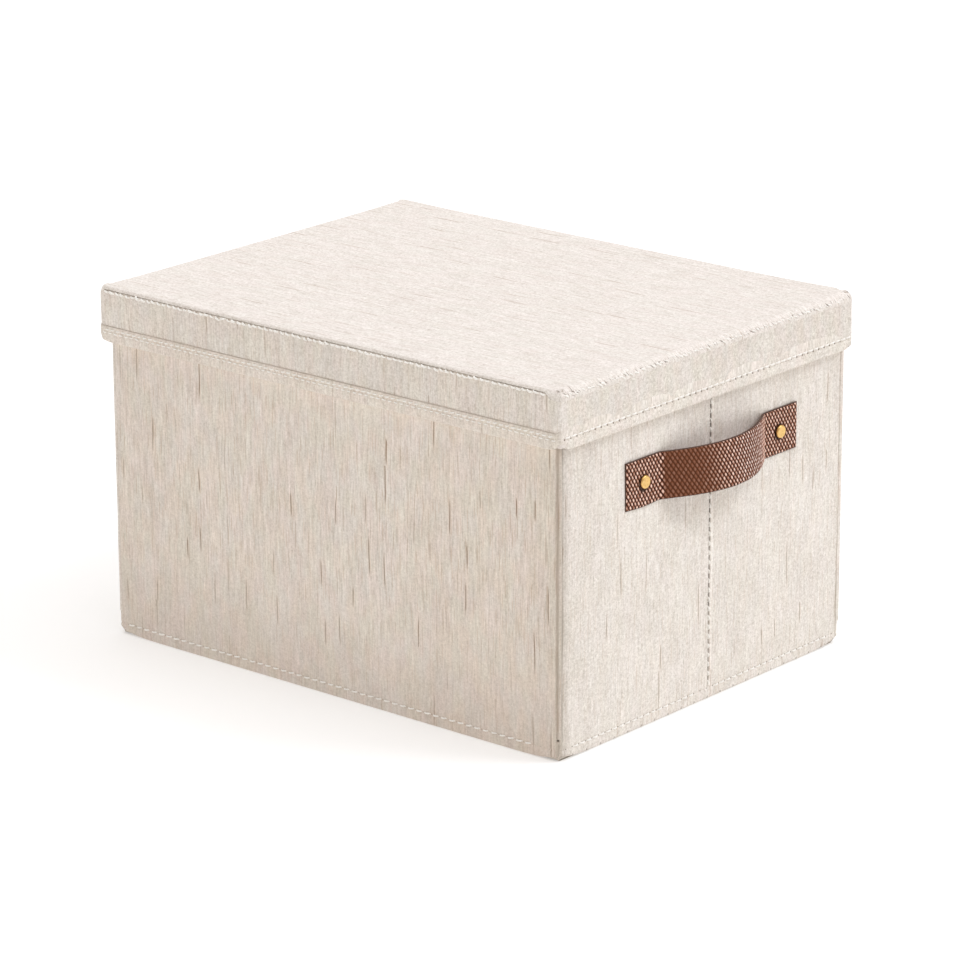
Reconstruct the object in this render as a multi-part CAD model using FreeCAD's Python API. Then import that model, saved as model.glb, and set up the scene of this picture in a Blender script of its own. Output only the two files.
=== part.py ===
import FreeCAD, Part
import math
import os

os.makedirs("parts", exist_ok=True)

V = FreeCAD.Vector

# ---------------------------------------------------------------------------
# Collapsible linen storage box with a lift-off lid.
# Frame: millimetres, +Z up, origin on the floor at the centre of the footprint,
# +X along the box's length, towards one handle. The long face at -Y is the
# front wall, the two end walls at +X and -X carry the strap handles.
#
# Each end wall is two stiff leaves with a stitched fold line between them, so
# the ends fold inwards, the rear wall comes up to the front wall and the two
# halves of the base rise between them.
# ---------------------------------------------------------------------------

# body, outer sizes
LB = 382.3            # length of the body
WB = 292.6            # width of the body
HB = 237.4            # height of the rim
T_FABRIC = 0.6        # outer linen
T_BOARD = 2.0         # stiffening board in a wall
T_LINING = 0.4        # lining
T = T_FABRIC + T_BOARD + T_LINING
HEM = 8.0             # solid hem of folded linen along the foot of a wall
RIM_CAP = 0.6         # binding over the top edge
RIM_FLANGE = 12.0     # binding turned down inside the rim
R_CORNER = 2.8        # outer vertical corners of the body
POCKET_END = 188.9    # the long walls' boards end here, inside the corner

# fold geometry
FOLD_MAX = 84.0       # degrees
AX_CORNER = LB / 2 - T - 0.3     # x of the corner hinges (a little inside the inner face)
AY_CORNER = WB / 2 - T           # y of the corner hinges
AX_SEAM = LB / 2 + 0.5           # x of the end walls' fold line
AZ_BASE = 1.1                    # z of the base's hinges at the walls
AZ_MID = AZ_BASE - (AX_SEAM - AX_CORNER)   # z of the base's centre fold
G_CORNER = 1.2        # gap between a long wall and a leaf
G_SEAM = 0.6          # half the gap at the fold line

# base
TB_FABRIC = 0.4
TB_BOARD = 1.5
TB_LINING = 0.3
CLIP = 11.0           # the base's stiff leaves stop this far from the end walls
BOARD_INSET = 13.5    # the base boards stop this far from the long walls
GUSSET_T = 0.8

# lid
LL = 391.3            # length over the hem band
WL = 300.9            # width over the hem band
LID_Z0 = 204.0        # bottom of the skirt
LID_Z1 = 241.1        # top
BAND_T = 0.65         # the hem band stands this much proud of the skirt
BAND_Z = 214.6        # top of the hem band
LID_BOARD_T = 2.2
LID_FABRIC_T = 0.7
LID_LINING_T = 0.4
SKIRT_FABRIC_T = 0.6
SKIRT_BOARD_T = 2.0
SKIRT_LINING_T = 0.4
R_LID = 5.5           # vertical corners of the lid

# strap handles
STRAP_Z0 = 149.6
STRAP_Z1 = 180.0
STRAP_T = 2.2
STRAP_HALF = 89.0     # half the length over the tabs
RIVET_Y = 70.0        # from the middle of the strap
STRAP_Y = 4.4         # the middle of the strap lies this far behind the fold line
RIVET_Z = 164.3
BULGE_LOW = 22.3      # outer face of the loop from the wall, at the lower edge
BULGE_HIGH = 18.9     # the same at the upper edge
K_LOW = 0.0068        # the loop's curve, 1/mm
K_HIGH = 0.0058
TAB_SPACER = 0.3      # the tab on the far leaf stands off so that it can slide

# rivets
CAP_R = 4.4
CAP_H = 1.7
SHANK_R = 1.8
HOLE_R = 2.25         # strap hole over the far leaf's shank
WASHER_R = 4.6
WASHER_T = 0.8
PEEN_R = 2.6
PEEN_T = 0.5


def block(x0, x1, y0, y1, z0, z1):
    return Part.makeBox(x1 - x0, y1 - y0, z1 - z0, V(x0, y0, z0))


def prism(points, z0, z1):
    ring = [V(x, y, z0) for x, y in points]
    wire = Part.makePolygon(ring + [ring[0]])
    return Part.Face(wire).extrude(V(0, 0, z1 - z0))


def vertical_edges(shape, test):
    found = []
    for e in shape.Edges:
        a, b = e.Vertexes[0].Point, e.Vertexes[-1].Point
        if abs(a.x - b.x) < 1e-6 and abs(a.y - b.y) < 1e-6 and test(a.x, a.y):
            found.append(e)
    return found


def rounded_block(hx, hy, z0, z1, r):
    b = block(-hx, hx, -hy, hy, z0, z1)
    return b.makeFillet(r, vertical_edges(b, lambda x, y: True))


def mirror_x(s):
    return s.mirror(V(0, 0, 0), V(1, 0, 0))


def mirror_y(s):
    return s.mirror(V(0, 0, 0), V(0, 1, 0))


def rod_x(x0, x1, y, z, r):
    return Part.makeCylinder(r, x1 - x0, V(x0, y, z), V(1, 0, 0))


nodes = {}


def put(name, shape):
    shape = shape.removeSplitter()
    if shape.ShapeType == "Compound" and len(shape.Solids) == 1:
        shape = shape.Solids[0]
    nodes[name] = shape


# ---------------------------------------------------------------------------
# Long walls. The linen carries the rounded corners and the folded hem, the
# board stands in the pocket, the lining faces the inside and the binding
# closes the rim.
# ---------------------------------------------------------------------------
yo, yi = -WB / 2, -WB / 2 + T          # outer and inner face of the front wall

skin = block(-LB / 2, LB / 2, yo, yi, 0, HB)
skin = skin.makeFillet(R_CORNER, vertical_edges(skin, lambda x, y: abs(y - yo) < 1e-3))
skin = skin.cut(block(-POCKET_END, POCKET_END, yo + T_FABRIC, yi + 1, HEM, HB + 1))
front_fabric = skin
front_board = block(-POCKET_END + 0.1, POCKET_END - 0.1, yo + T_FABRIC,
                    yi - T_LINING, HEM, HB - RIM_CAP)
front_lining = block(-POCKET_END + 0.1, POCKET_END - 0.1, yi - T_LINING, yi,
                     HEM, HB - RIM_FLANGE)
front_binding = block(-POCKET_END + 0.1, POCKET_END - 0.1, yo + T_FABRIC, yi,
                      HB - RIM_CAP, HB).fuse(
    block(-POCKET_END + 0.1, POCKET_END - 0.1, yi - T_LINING, yi,
          HB - RIM_FLANGE, HB - RIM_CAP + 0.1))

put("front_wall_fabric", front_fabric)
put("front_wall_board", front_board)
put("front_wall_lining", front_lining)
put("front_wall_rim_binding", front_binding)
put("rear_wall_fabric", mirror_y(front_fabric))
put("rear_wall_board", mirror_y(front_board))
put("rear_wall_lining", mirror_y(front_lining))
put("rear_wall_rim_binding", mirror_y(front_binding))

# ---------------------------------------------------------------------------
# End walls: four leaves. Each is made for the right front leaf and mirrored.
# ---------------------------------------------------------------------------
xo, xi = LB / 2, LB / 2 - T            # outer and inner face of the right end
ly0, ly1 = yi + G_CORNER, -G_SEAM      # the leaf's run along Y

leaf_fabric = block(xo - T_FABRIC, xo, ly0, ly1, 0, HB).fuse(
    block(xi, xo, ly0, ly1, 0, HEM))
leaf_board = block(xi + T_LINING, xo - T_FABRIC, ly0 + 0.3, ly1 - 0.3, HEM, HB - RIM_CAP)
leaf_lining = block(xi, xi + T_LINING, ly0, ly1, HEM, HB - RIM_FLANGE)
leaf_binding = block(xi, xo - T_FABRIC, ly0, ly1, HB - RIM_CAP, HB).fuse(
    block(xi, xi + T_LINING, ly0, ly1, HB - RIM_FLANGE, HB - RIM_CAP + 0.1))

# holes for the rivets: the strap sits a little behind the middle of the end wall
HOLE_AT = {"front": STRAP_Y - RIVET_Y, "rear": STRAP_Y + RIVET_Y}

for side, mx in (("right", False), ("left", True)):
    for end, my in (("front", False), ("rear", True)):
        for what, s in (("fabric", leaf_fabric), ("board", leaf_board),
                        ("lining", leaf_lining), ("rim_binding", leaf_binding)):
            if my:
                s = mirror_y(s)
            if what != "rim_binding":
                s = s.cut(rod_x(xi - 5, xo + 5, HOLE_AT[end], RIVET_Z, SHANK_R + 0.05))
            if mx:
                s = mirror_x(s)
            put("%s_%s_leaf_%s" % (side, end, what), s)

# ---------------------------------------------------------------------------
# Strap handles. A strap is one strip of embossed leather cloth: a flat tab on
# each leaf and a loop that stands off the wall between them. The loop leans a
# little, so its lower edge stands further out than its upper edge.
# ---------------------------------------------------------------------------
N_HALF = 14


def strap_wire(bulge, k, z):
    # outer face of the loop, then its inner face, as offsets of one line
    foot = STRAP_T + 0.2
    reach = math.sqrt((bulge - foot) / k)          # where the curve meets the tab line
    bend = 3.0                                     # how softly it turns flat
    run = []

    def height(y):
        a = abs(y)
        curve = bulge - k * a * a
        flat = foot - 0.2
        # smooth maximum of the loop and the flat tab
        d = curve - flat
        soft = 0.5 * (d + math.sqrt(d * d + bend))
        return flat + soft

    n = 2 * N_HALF
    ys = [-STRAP_HALF]
    inner = reach + 9.0
    for i in range(n + 1):
        ys.append(-inner + 2 * inner * i / n)
    ys.append(STRAP_HALF)
    outer = []
    for y in ys:
        h = height(y) if abs(y) < inner + 1 else height(inner)
        h0 = height(inner)
        # level the tabs at the strap's own thickness
        h = STRAP_T + (h - h0) * (bulge - STRAP_T) / (height(0) - h0)
        outer.append((h, y))
    out, inn = [], []
    for i, (h, y) in enumerate(outer):
        a = outer[max(i - 1, 0)]
        b = outer[min(i + 1, len(outer) - 1)]
        tx, ty = b[0] - a[0], b[1] - a[1]
        ln = math.hypot(tx, ty)
        nx, ny = -ty / ln, tx / ln                 # towards the wall
        if abs(y) > inner - 0.1:
            nx, ny = -1.0, 0.0
        out.append((h, y))
        inn.append((h + nx * STRAP_T, y + ny * STRAP_T))
    lift = lambda y: TAB_SPACER * min(1.0, max(0.0, (y + 20.0) / 40.0))
    P = lambda p: V(LB / 2 + p[0] + lift(p[1]), p[1], z)
    o = Part.BSplineCurve()
    o.interpolate([P(p) for p in out[1:-1]])
    i = Part.BSplineCurve()
    i.interpolate([P(p) for p in inn[1:-1]])
    edges = [
        Part.makeLine(P(out[0]), P(out[1])),
        o.toShape(),
        Part.makeLine(P(out[-2]), P(out[-1])),
        Part.makeLine(P(out[-1]), P(inn[-1])),
        Part.makeLine(P(inn[-1]), P(inn[-2])),
        i.toShape(),
        Part.makeLine(P(inn[1]), P(inn[0])),
        Part.makeLine(P(inn[0]), P(out[0])),
    ]
    return Part.Wire(Part.__sortEdges__(edges))


low = strap_wire(BULGE_LOW, K_LOW, STRAP_Z0)
high = strap_wire(BULGE_HIGH, K_HIGH, STRAP_Z1)
strap = Part.makeLoft([low, high], True, True)
if strap.Volume < 0:
    strap.reverse()
strap = strap.cut(rod_x(xo - 1, xo + 8, -RIVET_Y, RIVET_Z, SHANK_R + 0.05))
strap = strap.cut(rod_x(xo - 1, xo + 8, RIVET_Y, RIVET_Z, HOLE_R))
strap.translate(V(0, STRAP_Y, 0))
put("right_handle_strap", strap)
put("left_handle_strap", mirror_x(strap))


def rivet(face_x):
    """Domed cap outside the strap at face_x, shank through the wall, peened inside."""
    # the dome is a spherical cap on a short cylinder
    dome = CAP_H - 0.5
    r = (CAP_R ** 2 + dome ** 2) / (2 * dome)
    ball = Part.makeSphere(r, V(face_x + CAP_H - r, 0, 0))
    cap = ball.common(Part.makeCylinder(CAP_R, r * 3, V(face_x + 0.5, 0, 0), V(1, 0, 0)))
    cap = cap.fuse(rod_x(face_x, face_x + 0.5, 0, 0, CAP_R))
    inner = xi - WASHER_T
    body = cap.fuse(rod_x(inner - PEEN_T, face_x + 0.2, 0, 0, SHANK_R))
    body = body.fuse(rod_x(inner - PEEN_T, inner, 0, 0, PEEN_R))
    return body


washer = rod_x(xi - WASHER_T, xi, 0, 0, WASHER_R).cut(rod_x(xi - 5, xi + 5, 0, 0, SHANK_R + 0.05))
near = rivet(LB / 2 + STRAP_T + 0.05)
far = rivet(LB / 2 + STRAP_T + 2 * TAB_SPACER)
for side, mx in (("right", False), ("left", True)):
    for end, sy, rv in (("front", -1, near), ("rear", 1, far)):
        a = rv.copy()
        a.translate(V(0, STRAP_Y + sy * RIVET_Y, RIVET_Z))
        w = washer.copy()
        w.translate(V(0, STRAP_Y + sy * RIVET_Y, RIVET_Z))
        if mx:
            a, w = mirror_x(a), mirror_x(w)
        put("%s_%s_rivet" % (side, end), a)
        put("%s_%s_rivet_washer" % (side, end), w)

# ---------------------------------------------------------------------------
# Base: two stiff leaves that meet at a fold along X, with soft triangular
# gussets at both ends, where the end walls sweep over the base as they fold.
# ---------------------------------------------------------------------------
x_hinge = LB / 2 - T - CLIP            # half length of a base leaf at its hinge


def base_plan(s0, s1, inset):
    """Trapezoid between distances s0 and s1 from the front wall, ends clipped at 45 degrees."""
    a, b = x_hinge - inset - s0, x_hinge - inset - s1
    y0, y1 = yi + s0, yi + s1
    return [(-a, y0), (a, y0), (b, y1), (-b, y1)]


half = -yi
z1 = TB_FABRIC
z2 = z1 + TB_BOARD
z3 = z2 + TB_LINING
b_fabric = prism(base_plan(0.4, half - G_SEAM, 0.0), 0, z1)
b_board = prism(base_plan(BOARD_INSET, half - G_SEAM - 0.4, 1.0), z1, z2)
b_lining = prism(base_plan(BOARD_INSET, half - G_SEAM - 0.4, 1.0), z2, z3)
put("base_front_fabric", b_fabric)
put("base_front_board", b_board)
put("base_front_lining", b_lining)
put("base_rear_fabric", mirror_y(b_fabric))
put("base_rear_board", mirror_y(b_board))
put("base_rear_lining", mirror_y(b_lining))

# pull loop of flat webbing on the base, beside the fold
tab = block(-12.5, 12.5, -48.0, -5.0, z3, z3 + 0.8)
tab = tab.makeFillet(4.0, vertical_edges(tab, lambda x, y: y < -40))
put("base_pull_loop", tab)

g = 0.5
gusset = prism([
    (LB / 2 - T - g, -half + g), (LB / 2 - T - g, half - g),
    (x_hinge + g, half - g), (x_hinge - half + g + 0.3, 0), (x_hinge + g, -half + g)],
    0, GUSSET_T)
put("right_base_gusset", gusset)
put("left_base_gusset", mirror_x(gusset))

# ---------------------------------------------------------------------------
# Lid: a covered board with a skirt of four covered boards and a stitched hem
# band round its lower edge.
# ---------------------------------------------------------------------------
hx, hy = LL / 2 - BAND_T, WL / 2 - BAND_T        # outer faces of the skirt linen
zt = LID_Z1 - LID_FABRIC_T                       # top of the lid board
zb = zt - LID_BOARD_T                            # underside of the lid board
zu = zb - LID_LINING_T                           # underside of the lining

skirt_z0 = LID_Z0 + 0.6
fx, fy = hx - SKIRT_FABRIC_T, hy - SKIRT_FABRIC_T
bx, by = fx - SKIRT_BOARD_T, fy - SKIRT_BOARD_T
cx, cy = bx - SKIRT_LINING_T, by - SKIRT_LINING_T

top_fabric = rounded_block(hx, hy, zt, LID_Z1, R_LID)
put("lid_top_fabric", top_fabric)
put("lid_top_board", rounded_block(fx - 0.05, fy - 0.05, zb, zt, R_LID - SKIRT_FABRIC_T))
put("lid_top_lining", rounded_block(cx - 0.05, cy - 0.05, zu, zb, 2.0))

skirt = rounded_block(hx, hy, skirt_z0, zt, R_LID).cut(
    rounded_block(fx, fy, skirt_z0 - 1, zt + 1, R_LID - SKIRT_FABRIC_T))
put("lid_skirt_fabric", skirt)
end_x = fx - (R_LID - SKIRT_FABRIC_T)
end_y = fy - (R_LID - SKIRT_FABRIC_T)
fb = block(-end_x, end_x, -fy, -by, skirt_z0, zb)
rb = block(bx, fx, -end_y, end_y, skirt_z0, zb)
put("lid_front_skirt_board", fb)
put("lid_rear_skirt_board", mirror_y(fb))
put("lid_right_skirt_board", rb)
put("lid_left_skirt_board", mirror_x(rb))
lining = rounded_block(bx, by, skirt_z0, zb, 2.4).cut(
    rounded_block(cx, cy, skirt_z0 - 1, zb + 1, 2.0))
put("lid_skirt_lining", lining)
outer = rounded_block(LL / 2, WL / 2, LID_Z0, BAND_Z, R_LID + BAND_T)
band = outer.cut(rounded_block(hx, hy, skirt_z0, BAND_Z + 1, R_LID)).cut(
    rounded_block(cx, cy, LID_Z0 - 1, skirt_z0 + 0.5, 2.0))
put("lid_hem_band", band)

# ---------------------------------------------------------------------------
for name, shape in nodes.items():
    shape.exportStep("parts/%s.step" % name)

print(len(nodes), "nodes")
for name, shape in nodes.items():
    b = shape.BoundBox
    print("%-32s solids %d valid %s vol %9.1f  x %7.2f %7.2f  y %7.2f %7.2f  z %6.2f %6.2f" % (
        name, len(shape.Solids), shape.isValid(), shape.Volume,
        b.XMin, b.XMax, b.YMin, b.YMax, b.ZMin, b.ZMax))
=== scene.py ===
import math

import bpy
import numpy as np
from mathutils import Matrix, Vector


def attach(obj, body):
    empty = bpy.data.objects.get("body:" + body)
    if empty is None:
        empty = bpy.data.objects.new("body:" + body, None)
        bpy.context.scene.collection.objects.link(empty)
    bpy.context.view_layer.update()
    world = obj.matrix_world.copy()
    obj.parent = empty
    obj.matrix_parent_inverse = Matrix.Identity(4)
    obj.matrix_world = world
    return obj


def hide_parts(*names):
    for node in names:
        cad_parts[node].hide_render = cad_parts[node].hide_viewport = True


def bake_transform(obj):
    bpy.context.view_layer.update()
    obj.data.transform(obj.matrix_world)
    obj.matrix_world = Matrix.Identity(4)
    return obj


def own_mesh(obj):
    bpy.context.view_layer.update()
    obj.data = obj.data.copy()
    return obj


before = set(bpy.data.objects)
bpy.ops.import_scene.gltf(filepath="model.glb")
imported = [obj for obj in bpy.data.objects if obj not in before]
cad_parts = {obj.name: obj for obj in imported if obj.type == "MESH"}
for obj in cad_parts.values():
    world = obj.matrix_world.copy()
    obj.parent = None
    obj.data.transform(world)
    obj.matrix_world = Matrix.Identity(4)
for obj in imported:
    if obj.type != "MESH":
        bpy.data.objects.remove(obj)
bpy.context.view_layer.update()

# ---------------------------------------------------------------------------
# Sizes in millimetres, the same as the construction's. Everything below is
# worked out in millimetres and written to the meshes in metres.
# ---------------------------------------------------------------------------
MM = 0.001
LB, WB, HB = 382.3, 292.6, 237.4        # body
T = 3.0                                 # wall
XO, YO = LB / 2, WB / 2                 # outer faces of the body
XI, YI = XO - T, YO - T                 # inner faces
AXC, AYC = XI - 0.3, YI                 # corner hinges
AXS = XO + 0.5                          # fold line of the end walls
LL, WL = 391.3, 300.9                   # lid over its hem band
Z1 = 241.1                              # top of the lid
LHX, LHY = LL / 2 + 0.40, WL / 2 - 0.20  # outer faces of the lid's skirt
RL = 2.2                                # the lid's vertical corners
SEAM = 1.7                              # half width of the soft hinge of an end wall
RIVET_Y, RIVET_Z = 70.0, 164.3
STRAP_Y = 4.4                           # the strap's middle and the seam lie this far behind the fold line

scene = bpy.context.scene


# ---------------------------------------------------------------------------
# small numeric helpers
# ---------------------------------------------------------------------------
def bell(x, x0, w):
    return np.exp(-((x - x0) / w) ** 2)


def step(x, a, b):
    t = np.clip((np.asarray(x, float) - a) / (b - a), 0, 1)
    return t * t * (3 - 2 * t)


def waves(seed, count, shortest, longest, stretch=1.0):
    """A smooth random surface of about unit height, the same each time. stretch above 1 draws it out along v."""
    r = np.random.RandomState(seed)
    lam = np.exp(r.uniform(math.log(shortest), math.log(longest), count))
    ang, ph = r.uniform(0, 2 * math.pi, count), r.uniform(0, 2 * math.pi, count)
    ku, kv = 2 * math.pi * np.cos(ang) / lam, 2 * math.pi * np.sin(ang) / lam / stretch

    def f(u, v):
        u, v = np.broadcast_arrays(np.asarray(u, float), np.asarray(v, float))
        return np.sin(u[..., None] * ku + v[..., None] * kv + ph).sum(-1) * math.sqrt(2.0 / count)

    return f


def spaced(a, b, gap, fine=0.0, fine_a=None, fine_b=None):
    """From a to b about gap apart, closer together (fine) within fine_a of a and fine_b of b."""
    pts = [a]
    x = a
    while x < b - 1e-9:
        g = gap
        if fine_a and x < a + fine_a - 1e-9:
            g = fine
        if fine_b and x > b - fine_b - 1e-9:
            g = fine
        elif fine_b and x + g > b - fine_b and x < b - fine_b - 1e-9:
            g = b - fine_b - x
        x = min(b, x + g)
        pts.append(x)
    if len(pts) > 2 and pts[-1] - pts[-2] < 0.25 * min(gap, fine or gap):
        pts.pop(-2)
    return np.array(pts)


# ---------------------------------------------------------------------------
# meshes
# ---------------------------------------------------------------------------
def volume(v, faces):
    total = 0.0
    for f in faces:
        f = np.asarray(f)
        if f.ndim == 1:
            f = f[None]
        a = v[f[:, 0]]
        for k in range(1, f.shape[1] - 1):
            total += np.einsum("ij,ij->i", a, np.cross(v[f[:, k]], v[f[:, k + 1]])).sum()
    return total


def make(name, v, quads, quv, mat, ngons=(), nuv=(), sharp=38.0, merge=0.0):
    """A closed mesh from quads (n,4) with their corner UVs (n,4,2), and some n-gons with theirs. It is turned right side out."""
    v = np.asarray(v, float)
    quads = np.asarray(quads, int)
    if volume(v, [quads, *ngons]) < 0:
        quads, quv = quads[:, ::-1], quv[:, ::-1]
        ngons, nuv = [list(g)[::-1] for g in ngons], [np.asarray(u)[::-1] for u in nuv]
    faces = quads.tolist() + [[int(i) for i in g] for g in ngons]
    me = bpy.data.meshes.new(name)
    me.from_pydata((v * MM).tolist(), [], faces)
    uv = [np.asarray(quv, float).reshape(-1, 2)] + [np.asarray(u, float).reshape(-1, 2) for u in nuv]
    layer = me.uv_layers.new(name="cloth")
    layer.data.foreach_set("uv", (np.concatenate(uv) * MM).astype(np.float32).ravel())
    if merge:
        import bmesh  # noqa: PLC0415

        bm = bmesh.new()
        bm.from_mesh(me)
        bmesh.ops.remove_doubles(bm, verts=bm.verts, dist=merge * MM)
        bmesh.ops.dissolve_degenerate(bm, dist=merge * MM * 0.5, edges=bm.edges)
        bm.to_mesh(me)
        bm.free()
    me.polygons.foreach_set("use_smooth", [True] * len(me.polygons))
    me.set_sharp_from_angle(angle=math.radians(sharp))
    ob = bpy.data.objects.new(name, me)
    scene.collection.objects.link(ob)
    ob.data.materials.append(mat)
    return ob


def tube_parts(rows, uv, first=0, ring=False):
    """rows (n,m,3) is a stack of closed loops, uv (n[+1],m+1,2). Gives quads and UVs."""
    n, m = rows.shape[:2]
    a = np.arange(n if ring else n - 1)[:, None]
    b = np.arange(m)[None, :]
    a2, b2 = (a + 1) % n, (b + 1) % m
    q = np.stack([a * m + b, a * m + b2, a2 * m + b2, a2 * m + b], -1).reshape(-1, 4) + first
    t = np.stack([uv[a, b], uv[a, b + 1], uv[a + 1, b + 1], uv[a + 1, b]], 2).reshape(-1, 4, 2)
    return q, t


def tube(name, rows, uv, mat, ring=False, sharp=38.0):
    n, m = rows.shape[:2]
    q, t = tube_parts(rows, uv, ring=ring)
    ngons, nuv = [], []
    if not ring:
        ngons = [list(range(m))[::-1], [(n - 1) * m + j for j in range(m)]]
        nuv = [uv[0, :m][::-1], uv[n - 1, :m]]
    return make(name, rows.reshape(-1, 3), q, t, mat, ngons, nuv, sharp)


def slab(name, top, bottom, uv, mat, sharp=38.0):
    """A closed sheet between two grids (n,m,3)."""
    n, m = top.shape[:2]
    k = n * m
    a, b = np.arange(n - 1)[:, None], np.arange(m - 1)[None, :]
    i = (a * m + b).reshape(-1)
    f1 = np.stack([i, i + m, i + m + 1, i + 1], -1)
    f2 = np.stack([i, i + 1, i + m + 1, i + m], -1) + k
    u = uv.reshape(-1, 2)
    edge = (
        [(j, j + 1) for j in range(m - 1)]
        + [(r * m + m - 1, (r + 1) * m + m - 1) for r in range(n - 1)]
        + [((n - 1) * m + j + 1, (n - 1) * m + j) for j in range(m - 2, -1, -1)]
        + [((r + 1) * m, r * m) for r in range(n - 2, -1, -1)]
    )
    e = np.array(edge)
    f3 = np.stack([e[:, 0], e[:, 1], e[:, 1] + k, e[:, 0] + k], -1)
    q = np.concatenate([f1, f2, f3])
    v = np.concatenate([top.reshape(-1, 3), bottom.reshape(-1, 3)])
    return make(name, v, q, np.concatenate([u, u])[q], mat, sharp=sharp)


def lathe(name, profile, centre, axis, mat, turns=64, sharp=30.0):
    """profile [(along, radius)] turned round axis through centre. It starts and ends on the axis, or is closed."""
    ax = Vector(axis).normalized()
    side = ax.orthogonal().normalized()
    up = ax.cross(side)
    ang = np.arange(turns) * 2 * math.pi / turns
    d = np.outer(np.cos(ang), side) + np.outer(np.sin(ang), up)
    p = np.array(profile, float)
    closed = p[0, 1] > 1e-6
    rows = np.array(centre) + p[:, None, 0:1] * np.array(ax) + p[:, None, 1:2] * d[None]
    length = np.concatenate([[0], np.cumsum(np.hypot(*np.diff(p, axis=0).T))])
    if closed:
        length = np.append(length, length[-1] + math.hypot(*(p[0] - p[-1])))
    ring = np.append(ang, 2 * math.pi) * 3.0
    uv = np.stack(np.meshgrid(length, ring, indexing="ij"), -1)
    if closed:
        return tube(name, rows, uv, mat, ring=True, sharp=sharp)
    inner = rows[1:-1]
    q, t = tube_parts(inner, uv[1:-1])
    m = turns
    v = np.concatenate([inner.reshape(-1, 3), [np.array(centre) + p[0, 0] * np.array(ax)], [np.array(centre) + p[-1, 0] * np.array(ax)]])
    last, k = len(v) - 1, (len(inner) - 1) * m
    tri = [[last - 1, (j + 1) % m, j] for j in range(m)] + [[last, k + j, k + (j + 1) % m] for j in range(m)]
    tuv = [np.array([uv[0, j], uv[1, j + 1], uv[1, j]]) for j in range(m)]
    tuv += [np.array([uv[-1, j], uv[-2, j], uv[-2, j + 1]]) for j in range(m)]
    return make(name, v, q, t, mat, tri, tuv, sharp)


def stitches(name, at, along, out, mat, length=4.4, r=0.42, slant=6.0, rise=0.30, sink=0.75, seed=1, sides=8, rings=9, loose=0.0):
    """A row of sewn stitches of two-ply thread, each rising out of one needle hole and going down into the next."""
    at, along, out = (np.asarray(x, float) for x in (at, along, out))
    k = len(at)
    rnd = np.random.RandomState(seed)
    along = along / np.linalg.norm(along, axis=1)[:, None]
    out = out / np.linalg.norm(out, axis=1)[:, None]
    side = np.cross(out, along)
    turn = np.radians(slant + rnd.normal(0, 1.6 + 13.0 * loose, k))[:, None]
    along = along * np.cos(turn) + side * np.sin(turn)
    side = np.cross(out, along)
    s = np.linspace(-1, 1, rings)
    size = (1 + rnd.normal(0, 0.05 + 0.17 * loose, k)).clip(0.45, 1.5)[:, None]
    fat = (1 + rnd.normal(0, 0.06 + 0.16 * loose, k)).clip(0.5, 1.5)[:, None]
    lift = rise + 0.35 * r - np.abs(s) ** 3 * (rise + sink * r + 0.35 * r)
    lift = lift[None, :] + rnd.normal(0, 0.03, k)[:, None]
    centre = at[:, None] + along[:, None] * (s[None, :, None] * length / 2 * size[..., None]) + out[:, None] * lift[..., None]
    centre += side[:, None] * (rnd.normal(0, 0.05, k)[:, None, None])
    if loose:
        centre += (along * rnd.normal(0, 0.75 * loose, k)[:, None] + side * rnd.normal(0, 0.30 * loose, k)[:, None])[:, None]
    ang = np.arange(sides) * 2 * math.pi / sides
    # thread's own direction, for rings square to it
    d = np.gradient(centre, axis=1)
    d /= np.linalg.norm(d, axis=2)[..., None]
    b = np.cross(d, side[:, None])
    b /= np.linalg.norm(b, axis=2)[..., None]
    a = np.cross(b, d)
    ply = 1 + 0.15 * np.cos(2 * (ang[None, None, :] - s[None, :, None] * length * 0.8 - rnd.uniform(0, 3, k)[:, None, None]))
    rad = r * fat[..., None] * (1 - 0.22 * np.abs(s) ** 4)[None, :, None] * ply
    v = (
        centre[:, :, None]
        + a[:, :, None] * (rad * np.cos(ang))[..., None]
        + b[:, :, None] * (rad * np.sin(ang))[..., None]
    )
    # quads
    i = np.arange(k)[:, None, None] * rings * sides
    ri = np.arange(rings - 1)[None, :, None] * sides
    j, j2 = np.arange(sides)[None, None, :], (np.arange(sides)[None, None, :] + 1) % sides
    q = np.stack([i + ri + j, i + ri + j2, i + ri + sides + j2, i + ri + sides + j], -1).reshape(-1, 4)
    uu = np.broadcast_to(np.arange(sides) * 0.4, (k, rings, sides))
    vv = np.broadcast_to((s * length / 2)[None, :, None] + np.arange(k)[:, None, None] * 7.0, (k, rings, sides))
    uv = np.stack([uu, vv], -1).reshape(-1, 2)
    ngons, nuv = [], []
    for n in range(k):
        base = n * rings * sides
        g1 = [base + x for x in range(sides)][::-1]
        g2 = [base + (rings - 1) * sides + x for x in range(sides)]
        ngons += [g1, g2]
        nuv += [uv[g1], uv[g2]]
    return make(name, v.reshape(-1, 3), q, uv[q], mat, ngons, nuv, sharp=60)


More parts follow.
